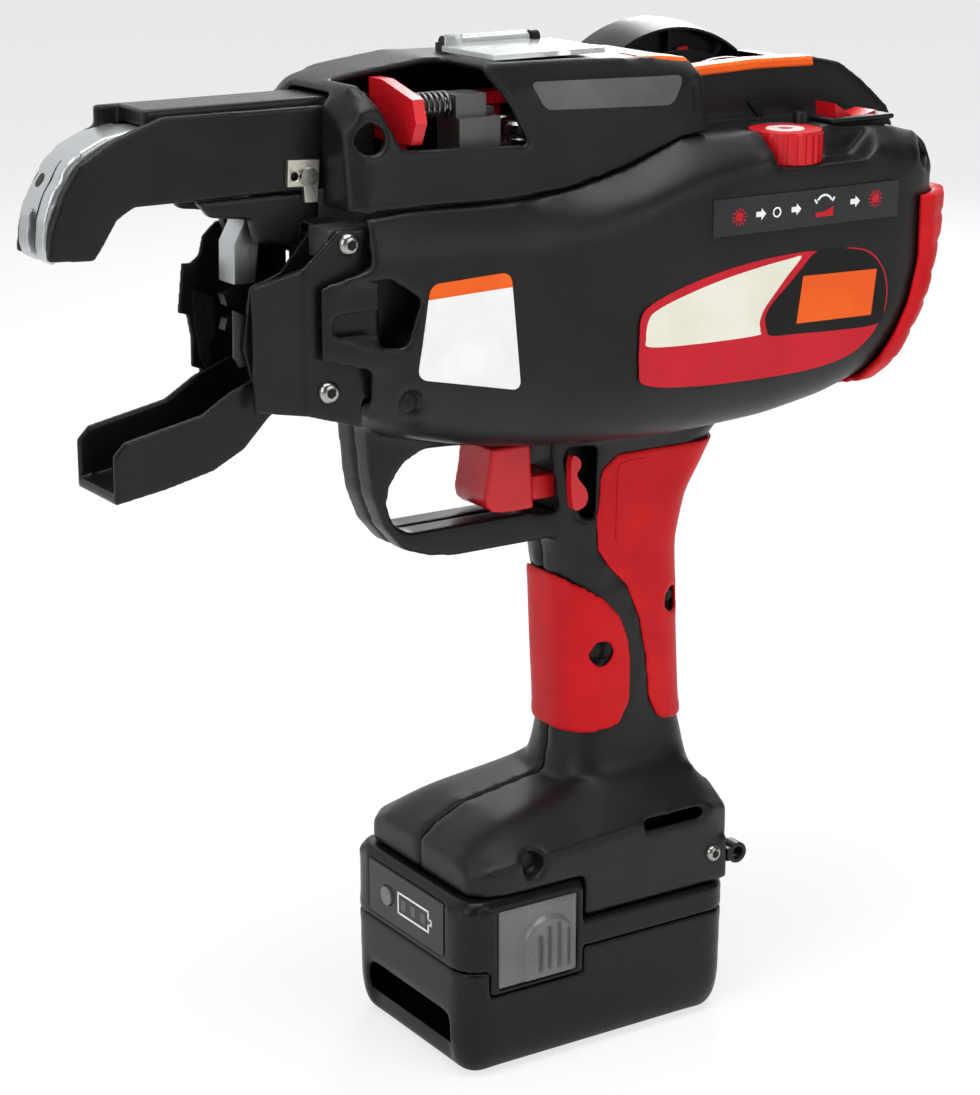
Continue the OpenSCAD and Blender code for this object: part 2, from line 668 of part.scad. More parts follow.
// Front plates and their screws
plate_edge = [[-119, 273], [-106, 280], [-94.5, 290], [-80.5, 290], [-80.5, 237], [-86.8, 237],
    [-86.8, 228.2],
    [-106.6, 234.3],
    [-119, 234.5]];
plate_plan = [[-80, plate_y], [-106, plate_y], [-117.2, ear_y0 + 0.2], [-117.2 - 1.3, ear_y0 + 1.6],
    [-106.8, plate_y + plate_t], [-80, plate_y + plate_t]];
module front_plate() difference() {
    intersection() {
        translate([0, 0, 200]) linear_extrude(height = 120) polygon(plate_plan);
        side_prism(plate_edge, -60, 60);
    }
    bar_y(contact_x, 0, 60, contact_z, 2.1);
    bar_y(guide_x, 0, 60, guide_z, 2.1);
}
module left_front_plate() color(dark_steel) on_pack() mirror([0, 1, 0]) front_plate();
module right_front_plate() color(dark_steel) on_pack() front_plate();
module plate_screws() color(steel) on_pack() both_sides()
    for (p = [[contact_x, contact_z], [guide_x, guide_z]]) difference() {
        union() {
            bar_y(p[0], plate_y + plate_t, plate_y + plate_t + 2.2, p[1], 3.6);
            bar_y(p[0], 20, plate_y + plate_t + 1, p[1], 1.9);
        }
        hex_y(p[0], plate_y + plate_t + 0.9, plate_y + plate_t + 4, p[1], socket_r);
    }
module cross_pin(x, z) difference() {
    bar_y(x, -ear_y1, ear_y1, z, pin_r);
    bar_y(x, -ear_y1 - 1, -19.5, z, 1.95);
    bar_y(x, 19.5, ear_y1 + 1, z, 1.95);
}
module cross_pins() color(steel) on_pack() {
    cross_pin(contact_x, contact_z);
    cross_pin(guide_x, guide_z);
}

// Upper arm
arm_rear = -70.5;
arm_side = [[arm_rear, arm_bottom], [arm_rear, 325], [-143, 325.3], [-158, 320], [-169.5, 313.3],
    [-175, 305.3],
    [-179.2, 295.3], [-180.5, 286.2], [-166, 285], [-162.5, 289.7], [-158.2, 296.4],
        [-152.6, arm_bottom]];
curl_side = [[arm_rear, arm_bottom], [arm_rear, 322], [-150, 322], [-160, 320.4], [-167.8, 316.8],
    [-172, 313.8], [-175, 310.2], [-178.2, 303.6], [-180.2, 297.6], [-181, 290], [-180, 286],
    [-177.5, 284.4], [-166, 284.6], [-162.5, 289.7], [-158.2, 296.4], [-152.6, arm_bottom]];
core_half_w = arm_half_w - arm_cover_t - 0.1;
cutter_x = -112;
cutter_z = 311;
cutter_r = 5;
module curl_guide() color(steel) on_pack() difference() {
    side_prism(curl_side, -core_half_w, core_half_w);
    box([-150, -1.5, 309], [-60, 1.5, 313]);
    box([-190, -2.4, 280], [-150, 2.4, 300]);
    bar_y(cutter_x, -core_half_w - 1, core_half_w + 1, cutter_z, cutter_r + run);
    bar_y(-176, -20, 20, 309.5, 2);
    bar_y(bracket_screw_x, -20, 0, bracket_screw_z, 1.6);
}
module arm_left_cover() color(dark_steel) on_pack() difference() {
    side_prism(arm_side, -arm_half_w, -arm_half_w + arm_cover_t);
    bar_y(bracket_screw_x, -20, 0, bracket_screw_z, 1.7);
}
module arm_right_cover() color(dark_steel) on_pack() {
    side_prism(arm_side, arm_half_w - arm_cover_t, arm_half_w);
    box([-147, -arm_half_w + arm_cover_t + 0.1, 322.3], [arm_rear, arm_half_w - 0.5, 327.4]);
    box([-154, arm_half_w - arm_cover_t, 317], [-143, arm_half_w, 327.4]);
}
bracket_screw_x = -95.7;
bracket_screw_z = 304.4;
bracket_side = [[-102.6, 301.6], [-102.2, 309.6], [-91.4, 309], [-92.2, 296.2], [-96.6, 296.4],
    [-96.9, 301.3]];
module arm_bracket() color(steel) on_pack() difference() {
    side_prism(bracket_side, -arm_half_w - 1.8, -arm_half_w - 0.1);
    bar_y(bracket_screw_x, -20, 0, bracket_screw_z, 1.7);
    bar_y(-100, -20, 0, 304.6, 1.4);
}
module arm_screw() color(steel) on_pack() {
    bar_y(bracket_screw_x, -arm_half_w - 3.4, -arm_half_w - 1.8, bracket_screw_z, 2.9);
    bar_y(bracket_screw_x, -arm_half_w - 2, -2, bracket_screw_z, 1.55);
}
module rotary_cutter() color(steel) on_pack() difference() {
    bar_y(cutter_x, -core_half_w + 0.2, core_half_w - 0.2, cutter_z, cutter_r);
    bar_x(cutter_x - 10, cutter_x + 10, 0, cutter_z, 1);
}
hook_guide_side = [[-132, arm_bottom - fit], [-127.6, 294.2], [-114.2, 292.4], [-112.3, 285],
    [-98, 283.4],
    [-96.2, 290.8], [-90.6, 290.8], [-90.6, arm_bottom - fit]];
module hook_guide() side_prism(hook_guide_side, 8.2, 11.9);
module hook_guides() color(dark_steel) on_pack() both_sides() hook_guide();
module wire_guide() color(steel) on_pack()
    side_prism([[-117, 271.8], [-116.7, 284.2], [-113.6, 289.8], [-111, arm_bottom - 0.1],
        [-104, arm_bottom - 0.1], [-108, 284], [-109.6, 271.8]], -5, 5);

// Contact plates and lower guide
contact_root = [[-113, 238.5], [-101, 250], [-94, 268], [-86.5, 281], [-86.5, 289.8], [-94.5, 289.8]];
left_claw_side = concat([[-106.4, 276.5], [-117, 272.5], [-120, 254.3], [-117, 243.4]], contact_root);
right_claw_side = concat([[-112.4, 288.2], [-117.1, 284.1], [-118.6, 278.2], [-121.6, 276],
    [-124.5, 276.2], [-126.3, 260.8], [-123.4, 260.1], [-122, 252], [-122.3, 243.5], [-117.7, 241.7]],
    contact_root);
contact_y = 14.2;
module contact_plates() color(dark_steel) on_pack() difference() {
    union() {
        side_prism(left_claw_side, -contact_y - contact_t, -contact_y);
        side_prism(right_claw_side, contact_y, contact_y + contact_t);
    }
    bar_y(contact_x, -20, 20, contact_z, pin_r + run);
}

guide_top = [[-94.2, 236.5], [-94, 245.5], [-110, 246], [-122.7, 241.2], [-133, 235], [-159, 230],
    [-163, 226]];
guide_bottom = [[-163, 211], [-146, 213.5], [-130, 217], [-119, 222.5], [-110, 231.5], [-103, 235.5]];
module lower_guide() color(dark_steel) on_pack() difference() {
    side_prism(concat(guide_top, guide_bottom), -guide_half_w, guide_half_w);
    side_prism(concat([for (p = guide_top) p + [p[0] > -100 ? 20 : p[0] < -160 ? -10 : 0, 20]],
        [for (p = guide_bottom) p + [p[0] < -160 ? -10 : 0, guide_t * 1.15]], [[-70, 236.5]]),
        -guide_half_w + guide_t, guide_half_w - guide_t);
    bar_y(guide_x, -20, 20, guide_z, pin_r + run);
}

// Twister
module twist_motor() color(dark_steel) on_pack() difference() {
    union() {
        bar_x(bulkhead_x1, 36, 0, motor_z, twist_motor_r);
        bar_x(36, 42, 0, motor_z, 6);
        for (s = [-1, 1]) box([36, s * 9 - 1.5, motor_z - 4], [41, s * 9 + 1.5, motor_z + 4]);
    }
    bar_x(bulkhead_x1 - 1, 30, 0, motor_z, 3 + run);
}
module motor_pinion() color(steel) on_pack() {
    bar_x(gear_x1 - 1, 28, 0, motor_z, 3);
    translate([gear_x0, 0, motor_z]) rotate([90, 0, 90]) linear_extrude(height = gear_x1 - gear_x0)
        rotate(180 / pinion_n) polygon(gear_points(pinion_n, gear_m));
}
module twist_gear() color(steel) on_pack() translate([gear_x0 + 1, 0, twist_z]) rotate([90, 0, 90])
    difference() {
    linear_extrude(height = gear_x1 - gear_x0 - 2) polygon(gear_points(twist_n, gear_m));
    translate([0, 0, -1]) cylinder(r = twist_shaft_r + 0.01, h = 20);
}
module twist_shaft() color(steel) on_pack() {
    bar_x(-104, bulkhead_x1 - 0.4, 0, twist_z, twist_shaft_r);
    bar_x(-79, -53, 0, twist_z, bush_r - 0.1);
}
module hook_head() color(steel) on_pack() difference() {
    union() {
        bar_x(-106, frame_front - 1, 0, twist_z, hook_r);
        side_prism([[-105, twist_z + 2], [-118, twist_z + 2], [-119, twist_z + 5.5],
            [-112, twist_z + 7.5],
            [-105, twist_z + 7.5]], -2, 2);
        side_prism([[-105, twist_z - 2], [-118, twist_z - 2], [-119, twist_z - 5.5],
            [-112, twist_z - 7.5],
            [-105, twist_z - 7.5]], -2, 2);
    }
    bar_x(-104, frame_front + 1, 0, twist_z, twist_shaft_r + 0.01);
}

// Wire feed
wheel_r = feed_y - 0.45;
feed_gear_z = 297;
module feed_wheel() {
    translate([0, 0, feed_gear_z]) linear_extrude(height = 6) children();
    translate([0, 0, feed_gear_z + 6]) cylinder(r = 6, h = 2);
    translate([0, 0, feed_gear_z + 8]) rotate_extrude() polygon([[0, 0], [wheel_r - 1, 0],
        [wheel_r, 1], [wheel_r, 4.5],
        [wheel_r - 0.6, 5.2], [wheel_r, 6], [wheel_r, 9], [wheel_r - 1, 10], [0, 10]]);
}
module feed_motor() color(dark_steel) on_pack() difference() {
    bar_z(feed_x, -feed_y, motor_z + twist_motor_r + 1.6, deck_z0, feed_motor_r);
    bar_z(feed_x, -feed_y, 262, 300, 2.5 + run);
}
module feed_drive_gear() color(steel) on_pack() translate([feed_x, -feed_y, 0]) {
    feed_wheel() polygon(gear_points(feed_n, gear_m));
    bar_z(0, 0, 264, feed_gear_z + 1, 2.5);
}
module feed_idler_gear() color(steel) on_pack() translate([feed_x, feed_y, 0]) difference() {
    feed_wheel() rotate(180 / feed_n) polygon(gear_points(feed_n, gear_m));
    bar_z(0, 0, 280, 330, 2.5 + run);
}
block_y0 = -26;
block_y1 = -13;
block_x0 = -49;
block_x1 = -34;
spring_y = -19;
spring_z = 323.5;
module feed_block() color(cast) on_pack() {
    box([block_x0, block_y0, deck_z], [block_x1, block_y1, 319.5]);
    box([block_x0, block_y0 + 2, 319.5], [block_x1 - 4, block_y1, 326.5]);
    box([block_x0 + 4, -22, deck_z], [block_x1, -20, 322]);
    bar_x(block_x0 - 11.4, block_x0 + 1, spring_y, spring_z, 1.8);
}
paddle_x0 = -68;
paddle_x1 = -64;
module release_lever() color(red) on_pack() difference() {
    union() {
        cross_prism([[-28.5, 313.2], [-31.5, 320], [-29.5, 327], [-12, 331.4], [-4, 331.4], [-4, 313.2]],
            paddle_x0, paddle_x1);
        translate([0, 0, 318.6]) linear_extrude(height = 3.6) polygon([[paddle_x0, -8], [paddle_x0, 4],
            [-58, 13.5],
            [-8, 14], [-8, 4.6], [-46, 4], [-58, -8]]);
        bar_z(feed_x, feed_y, 296, 319, 2.5);
        bar_z(lever_x, lever_y, 305, 319, 4);
    }
    bar_z(lever_x, lever_y, 290, 330, 2 + run);
}
module lever_pin() color(steel) on_pack() bar_z(lever_x, lever_y, deck_z0 + 0.5, 324, 2);
module release_spring() color(steel) on_pack()
    coil_spring(paddle_x1 + 0.1, block_x0 - 0.1, spring_y, spring_z, spring_r, spring_turns,
        spring_wire_r);

// Reel
reel_y1 = 27;
module reel_case() color(black) on_pack() difference() {
    bar_y(reel_x, reel_wall_y + 0.2, 29.6, reel_z, reel_cap_r - 0.1);
    bar_y(reel_x, reel_wall_y + 2.6, 40, reel_z, reel_cap_r - 2.8);
    box([-far, -far, 326], [far, far, far]);
    bar_y(reel_x, -10, 10, reel_z, 3);
}
module reel_spindle() color(steel) on_pack() {
    bar_y(reel_x, reel_wall_y + 2.6, reel_y1 + 1, reel_z, spindle_r);
    bar_y(reel_x, reel_wall_y + 0.4, reel_wall_y + 3, reel_z, 2.95);
}
module wire_reel() color([0.25, 0.25, 0.27]) on_pack() difference() {
    union() {
        bar_y(reel_x, 1, reel_y1, reel_z, 14);
        bar_y(reel_x, 1, 3, reel_z, reel_r);
        bar_y(reel_x, reel_y1 - 2, reel_y1, reel_z, reel_r);
    }
    bar_y(reel_x, 0, 40, reel_z, spindle_r + run);
    for (k = [0:5]) translate([reel_x, 0, reel_z]) rotate([0, 60 * k, 0]) translate([24, 0, 0])
        rotate([-90, 0, 0]) cylinder(r = 6, h = 60);
}
cap_y0 = 30;
cap_y1 = 49.5;
cap_taper_y = 42.5;
cap_taper = 2.1;
cap_hinge_y = 52;
cap_hinge_z = reel_z - reel_cap_r - 3;
module reel_cap() color(black) on_pack() difference() {
    union() {
        difference() {
            union() {
                bar_y(reel_x, cap_taper_y, cap_y1, reel_z, reel_cap_r);
                translate([reel_x, cap_taper_y, reel_z]) rotate([90, 0, 0])
                    cylinder(r1 = reel_cap_r, r2 = reel_cap_r - cap_taper, h = cap_taper_y - cap_y0);
            }
            bar_y(reel_x, cap_y0 - 1, 36, reel_z, reel_cap_r - 3);
            bar_y(reel_x, 39, cap_y1 + 1, reel_z, reel_cap_r - 9);
        }
        bar_y(reel_x, 30, 37, reel_z, 9);
        for (k = [0:11]) translate([reel_x, 0, reel_z]) rotate([0, 30 * k, 0])
            box([8, 32.5, -0.9], [reel_cap_r - 2, 37, 0.9]);
        box([reel_x - 8, cap_hinge_y - 4.1, cap_hinge_z],
            [reel_x + 8, cap_hinge_y - 2.5, reel_z - reel_cap_r + 2]);
        bar_x(reel_x - 8, reel_x + 8, cap_hinge_y, cap_hinge_z, 3);
    }
    bar_x(reel_x - 9, reel_x + 9, cap_hinge_y, cap_hinge_z, 1.5 + run);
}
module reel_hinge() color(black) on_pack() {
    bar_x(reel_x - 13, reel_x + 13, cap_hinge_y, cap_hinge_z, 1.5);
    for (s = [-1, 1]) difference() {
        union() {
            bar_x(reel_x + s * 10.8 - 2.2, reel_x + s * 10.8 + 2.2, cap_hinge_y, cap_hinge_z, 3);
            box([reel_x + s * 10.8 - 2.2, 47.6, cap_hinge_z - 9],
                [reel_x + s * 10.8 + 2.2, cap_hinge_y, cap_hinge_z]);
        }
        bar_x(reel_x - 20, reel_x + 20, cap_hinge_y, cap_hinge_z, 1.5 - eps);
    }
    box([reel_x - 13, 47.6, cap_hinge_z - 12], [reel_x + 13, 49.2, cap_hinge_z - 5]);
}

// Controls
dial_z0 = 297.4;
dial_z1 = 308.4;
pocket_back = 3.1;
pocket_z = dial_z0 + 0.5;
rocker_x0 = 92;
rocker_x1 = 115;
rocker_y0 = -34;
rocker_y1 = -19;
module torque_dial() color(red) on_pack() {
    bar_z(dial_x, dial_y, dial_z0 + 0.4, dial_z1, dial_r);
    for (k = [0:23]) rotate_at(dial_x, dial_y, 15 * k) box([dial_r - 0.6, -0.8, dial_z0 + 0.9],
        [dial_r + 0.5, 0.8, dial_z1 - 1]);
    bar_z(dial_x, dial_y, dial_z0 - 8, dial_z0 + 1, 3);
}
module rotate_at(x, y, a) translate([x, y, 0]) rotate(a) children();
module dial_switch() color(cast) on_pack() difference() {
    box([dial_x - 8, dial_y - 8, 282], [dial_x + 8, dial_y + 8, dial_z0 - 3.1]);
    bar_z(dial_x, dial_y, dial_z0 - 8.4, 300, 3 + run);
}
module switch_bezel() color(black) on_pack() difference() {
    union() {
        box([rocker_x0, rocker_y0, 296], [rocker_x1, rocker_y1, 309]);
        box([rocker_x0 - 2, rocker_y0 - 2, 308.6], [rocker_x1 + 2, rocker_y1 + 2, 310.2]);
    }
    box([rocker_x0 + 2, rocker_y0 + 2, 298], [rocker_x1 - 2, rocker_y1 - 2, 320]);
    bar_y((rocker_x0 + rocker_x1) / 2, rocker_y0 - 1, rocker_y1 + 1, 305, 1.5);
}
rocker_mid = (rocker_x0 + rocker_x1) / 2;
module rocker_switch() color(red) on_pack() {
    side_prism([[rocker_x0 + 2.9, 314.6], [rocker_mid, 309.2], [rocker_x1 - 2.6, 311.2],
        [rocker_x1 - 3.1, 306], [rocker_mid + 3, 302], [rocker_mid - 3, 302],
        [rocker_x0 + 3.4, 307.5]], rocker_y0 + 2.4, rocker_y1 - 2.4);
    bar_y(rocker_mid, rocker_y0 + 0.3, rocker_y1 - 0.3, 305, 1.45);
}
panel_x0 = 33;
panel_x1 = 110;
panel_z0 = 278;
panel_z1 = 290;
panel_y = 46.9;
module status_panel() color([0.2, 0.2, 0.21]) on_pack()
    box([panel_x0, -panel_y - 0.9, panel_z0], [panel_x1, -panel_y - 0.05, panel_z1]);
board_y = -36;
module control_board() color([0.1, 0.35, 0.2]) on_pack() {
    box([40, board_y, 236], [106, board_y + 1.6, 276]);
    for (x = [52, 66]) bar_y(x, board_y + 1, board_y + 16, 246, 5);
    box([80, board_y + 1, 240], [104, board_y + 11, 262]);
}

// Trigger group
frame_x0 = -0.6;
frame_x1 = 40;
trigger_frame_half_w = 9.2;
trigger_frame_z0 = 184;
trigger_frame_z1 = 207.5;
block_z0 = 188;
block_z1 = 196.5;
module trigger() color(red) on_pack() difference() {
    union() {
        side_prism([[-10, 186.2], [-21, 186.2], [-26, 187], [-28.6, 189.4], [-29, 193], [-27.6, 200],
            [-26.6, 208.6], [-11.5, 208.6]], -trigger_half_w, trigger_half_w);
        box([-12, -7.5, block_z0], [9, 7.5, block_z1]);
    }
    bar_x(3, 12, 0, (block_z0 + block_z1) / 2, 3.6);
}
module trigger_frame() color(cast) on_pack() difference() {
    box([frame_x0, -trigger_frame_half_w, trigger_frame_z0],
        [frame_x1, trigger_frame_half_w, trigger_frame_z1]);
    box([frame_x0 - 1, -7.5 - fit, block_z0 - fit],
        [9 + trigger_travel + fit, 7.5 + fit, block_z1 + fit]);
    bar_x(14, 22, 0, (block_z0 + block_z1) / 2, 3.6);
    bar_y(lock_x, -20, -3, lock_z, 2 + run);
    box([26, -7, 186], [38.5, 10, 204]);
}
module trigger_spring() color(steel) on_pack()
    coil_spring(3.2, 21.8, 0, (block_z0 + block_z1) / 2, 2.6, 7, 0.4);
module trigger_lock() color(red) on_pack() {
    side_prism([[lock_x - 3.6, lock_z + 2.5], [lock_x - 3, lock_z - 6], [lock_x - 4, lock_z - 12],
        [lock_x - 1.5, lock_z - 15.5], [lock_x + 3, lock_z - 15.5], [lock_x + 3.8, lock_z - 8],
        [lock_x + 3.6, lock_z + 2.5]], -18, -15.2);
    bar_y(lock_x, -16, -4, lock_z, 2);
}

// Foot fittings
module terminal_block() color([0.25, 0.25, 0.26]) on_pack() {
    box([8, -17, pack_datum + fit + wall + 0.05], [40, 17, 75]);
    both_sides() box([blade_x0, blade_y - 0.6, pack_datum - 5.5], [blade_x1, blade_y + 0.6, 67]);
}
module strap_eye() color(steel) on_pack() difference() {
    union() {
        bar_y(strap_x, strap_y - 3, strap_y + 3, strap_z, strap_hole_r + strap_rim);
        box([54.2, strap_y - 3, strap_z - 2.4], [strap_x, strap_y + 3, strap_z + 2.4]);
    }
    bar_y(strap_x, strap_y - 5, strap_y + 5, strap_z, strap_hole_r);
}

left_housing();
right_housing();
upper_cover();
feed_window();
window_hinge();
rear_bumper();
front_grip_pad();
rear_grip_pad();
housing_screws();
gear_frame();
left_front_plate();
right_front_plate();
plate_screws();
curl_guide();
arm_left_cover();
arm_right_cover();
arm_bracket();
arm_screw();
rotary_cutter();
hook_guides();
wire_guide();
contact_plates();
cross_pins();
lower_guide();
twist_motor();
motor_pinion();
twist_gear();
twist_shaft();
hook_head();
feed_motor();
feed_drive_gear();
feed_idler_gear();
feed_block();
release_lever();
lever_pin();
release_spring();
reel_case();
reel_spindle();
wire_reel();
reel_cap();
reel_hinge();
torque_dial();
dial_switch();
switch_bezel();
rocker_switch();
status_panel();
control_board();
trigger();
trigger_frame();
trigger_spring();
trigger_lock();
terminal_block();
strap_eye();
battery_base();
battery_top();
battery_cells();
battery_latch_left();
battery_latch_right();
gauge_panel();
gauge_button();
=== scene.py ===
import math
import bmesh
import bpy
from mathutils import Matrix, Vector
from mathutils.bvhtree import BVHTree


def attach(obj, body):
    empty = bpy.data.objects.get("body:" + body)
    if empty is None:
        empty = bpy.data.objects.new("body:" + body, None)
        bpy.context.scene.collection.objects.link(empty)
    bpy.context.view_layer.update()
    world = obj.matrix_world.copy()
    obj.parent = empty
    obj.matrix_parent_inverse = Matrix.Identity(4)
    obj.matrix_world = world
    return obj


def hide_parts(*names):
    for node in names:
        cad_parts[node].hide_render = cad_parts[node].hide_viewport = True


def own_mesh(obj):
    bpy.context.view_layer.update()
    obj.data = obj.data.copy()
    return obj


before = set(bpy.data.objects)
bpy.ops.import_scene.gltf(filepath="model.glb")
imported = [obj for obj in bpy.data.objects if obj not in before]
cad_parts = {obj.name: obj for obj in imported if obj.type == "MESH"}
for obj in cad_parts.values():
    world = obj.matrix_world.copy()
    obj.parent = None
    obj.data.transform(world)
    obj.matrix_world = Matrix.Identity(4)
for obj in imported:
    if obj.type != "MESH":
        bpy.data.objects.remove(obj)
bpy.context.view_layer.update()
scene = bpy.context.scene

# Studio. A hand tool on a pale paper sweep, lit by soft boxes from above, from the jaw side,
# from the left and from behind, with the camera in front of the left side.
def shade(tree, kind, values=None, **settings):
    made = tree.nodes.new("ShaderNode" + kind)
    for key, value in settings.items():
        setattr(made, key, value)
    for key, value in (values or {}).items():
        if isinstance(value, bpy.types.NodeSocket):
            tree.links.new(value, made.inputs[key])
        else:
            made.inputs[key].default_value = value
    return made


def show(name, mesh):
    made = bpy.data.objects.new(name, mesh)
    scene.collection.objects.link(made)
    return made


def mesh_from(bm, name, smooth=True):
    mesh = bpy.data.meshes.new(name)
    for face in bm.faces:
        face.smooth = smooth
    bm.to_mesh(mesh)
    bm.free()
    return show(name, mesh)


def facing(place, aim):
    return (aim - Vector(place)).to_track_quat("-Z", "Y").to_euler()


scene.view_settings.view_transform = "Standard"
camera = show("camera", bpy.data.cameras.new("camera"))
camera.data.lens = 92.05
camera.data.sensor_width = 36
camera.location = (-0.5082, -0.7503, 0.4370)
camera_aim = Vector((-0.021, 0, 0.172))
camera.rotation_euler = facing(camera.location, camera_aim)
scene.camera = camera

fill_light, fill_in_gloss = 0.3, 0.07
scene.world = bpy.data.worlds.new("surround")
scene.world.use_nodes = True
sky = scene.world.node_tree
rays = shade(sky, "LightPath")
direction = shade(sky, "SeparateXYZ", {0: shade(sky, "TexCoord").outputs["Generated"]})
behind = shade(sky, "MapRange", {"Value": direction.outputs["Y"], "From Min": -0.1, "From Max": 0.5})
mirrored = shade(sky, "Math", {0: rays.outputs["Is Glossy Ray"], 1: rays.outputs["Is Transmission Ray"]},
                 operation="MAXIMUM")
mirrored = shade(sky, "Math", {0: mirrored.outputs[0], 1: behind.outputs[0]}, operation="MULTIPLY")
bright = shade(sky, "Math", {0: rays.outputs["Is Camera Ray"], 1: mirrored.outputs[0]}, operation="MAXIMUM")
dim = shade(sky, "MapRange", {"Value": rays.outputs["Is Glossy Ray"],
                              "To Min": fill_light, "To Max": fill_in_gloss})
level = shade(sky, "MapRange", {"Value": bright.outputs[0], "To Min": dim.outputs[0], "To Max": 1.0})
surround = sky.nodes["Background"]
surround.inputs["Color"].default_value = (1, 1, 1, 1)
sky.links.new(level.outputs[0], surround.inputs["Strength"])

floor_reach, floor_drop, floor_glow, floor_in_gloss = 5, 0.0002, 0.72, 0.3
floor_bm = bmesh.new()
bmesh.ops.create_grid(floor_bm, x_segments=1, y_segments=1, size=floor_reach)
bmesh.ops.translate(floor_bm, verts=floor_bm.verts, vec=(0, 0, -floor_drop))
floor = mesh_from(floor_bm, "floor", smooth=False)
sweep = bpy.data.materials.new("paper_sweep")
sweep.use_nodes = True
paper = sweep.node_tree
rays = shade(paper, "LightPath")
in_gloss = shade(paper, "Math", {0: rays.outputs["Is Glossy Ray"], 1: floor_in_gloss}, operation="MULTIPLY")
seen = shade(paper, "Math", {0: rays.outputs["Is Camera Ray"], 1: in_gloss.outputs[0]}, operation="MAXIMUM")
seen = shade(paper, "Math", {0: seen.outputs[0], 1: rays.outputs["Is Transmission Ray"]},
             operation="MAXIMUM")
share = shade(paper, "Math", {0: seen.outputs[0], 1: floor_glow}, operation="MULTIPLY")
fibre = shade(paper, "TexNoise", {"Vector": shade(paper, "TexCoord").outputs["Object"], "Scale": 400.0})
tone = shade(paper, "MapRange", {"Value": fibre.outputs["Fac"], "To Min": 0.93, "To Max": 0.97})
matt = shade(paper, "BsdfDiffuse", {"Color": tone.outputs[0]})
glow = shade(paper, "Emission", {"Color": (1, 1, 1, 1), "Strength": 1.0})
mixed = shade(paper, "MixShader", {0: share.outputs[0], 1: matt.outputs[0], 2: glow.outputs[0]})
paper.links.new(mixed.outputs[0], paper.nodes["Material Output"].inputs["Surface"])
floor.data.materials.append(sweep)


def soft_box(name, place, width, height, power):
    lamp = bpy.data.lights.new(name, "AREA")
    lamp.shape = "RECTANGLE"
    lamp.size = width
    lamp.size_y = height
    lamp.energy = power
    lamp_object = show(name, lamp)
    lamp_object.location = place
    lamp_object.rotation_euler = facing(place, lamp_aim)


lamp_aim = Vector((-0.02, 0, 0.2))
soft_box("overhead_box", (-0.1, -0.2, 1.7), width=1.3, height=1.0, power=25)
soft_box("jaw_side_box", (-1.5, -0.5, 0.9), width=0.8, height=1.2, power=9)
soft_box("left_side_box", (0.5, -1.6, 0.8), width=1.0, height=0.8, power=6)
soft_box("rear_strip", (0.9, 1.1, 0.9), width=0.3, height=1.2, power=8)

# Clamshell halves. Glass-filled nylon moulded in two halves with a fine spark-eroded texture,
# joined on the centre plane by five screws.
spark_texture = bpy.data.node_groups.new("spark_texture", "ShaderNodeTree")
spark_texture.interface.new_socket("Grain", in_out="INPUT", socket_type="NodeSocketFloat")
spark_texture.interface.new_socket("Pits", in_out="OUTPUT", socket_type="NodeSocketFloat")
spark_texture.interface.new_socket("Mottle", in_out="OUTPUT", socket_type="NodeSocketFloat")
group_in = spark_texture.nodes.new("NodeGroupInput")
group_out = spark_texture.nodes.new("NodeGroupOutput")
spot = shade(spark_texture, "TexCoord").outputs["Object"]
pits = shade(spark_texture, "TexNoise", {"Vector": spot, "Scale": group_in.outputs["Grain"], "Detail": 3.0})
broad = shade(spark_texture, "TexNoise", {"Vector": spot, "Scale": 55.0, "Detail": 4.0})
spread = shade(spark_texture, "MapRange", {"Value": broad.outputs["Fac"], "From Min": 0.35, "From Max": 0.65})
spark_texture.links.new(pits.outputs["Fac"], group_out.inputs["Pits"])
spark_texture.links.new(spread.outputs[0], group_out.inputs["Mottle"])


def start_material(name, grain):
    made = bpy.data.materials.new(name)
    made.use_nodes = True
    texture = made.node_tree.nodes.new("ShaderNodeGroup")
    texture.node_tree = spark_texture
    texture.inputs["Grain"].default_value = grain
    return made, made.node_tree, made.node_tree.nodes["Principled BSDF"], texture


def moulded(name, dark, light, rough, grain=1800.0, depth=0.25, gloss=0.5):
    made, tree, shader, texture = start_material(name, grain)
    shader.inputs["Specular IOR Level"].default_value = gloss
    colour = shade(tree, "Mix", {0: texture.outputs["Mottle"], 6: (*dark, 1), 7: (*light, 1)},
                   data_type="RGBA")
    sheen = shade(tree, "MapRange", {"Value": texture.outputs["Pits"], "From Min": 0.3, "From Max": 0.7,
                                     "To Min": rough - 0.05, "To Max": rough + 0.07})
    bump = shade(tree, "Bump", {"Height": texture.outputs["Pits"], "Strength": depth, "Distance": 0.0002})
    tree.links.new(colour.outputs[2], shader.inputs["Base Color"])
    tree.links.new(sheen.outputs[0], shader.inputs["Roughness"])
    tree.links.new(bump.outputs[0], shader.inputs["Normal"])
    return made


def fitted(piece, body, slot, *materials, source=None):
    for material in materials:
        piece.data.materials.append(material)
    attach(piece, body)
    if source:
        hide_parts(source)
    return piece


def even_out(bm, verts, rounds, along_y=True):
    for _ in range(rounds):
        bmesh.ops.smooth_vert(bm, verts=verts, factor=0.5, use_axis_x=True, use_axis_y=along_y,
                              use_axis_z=True)


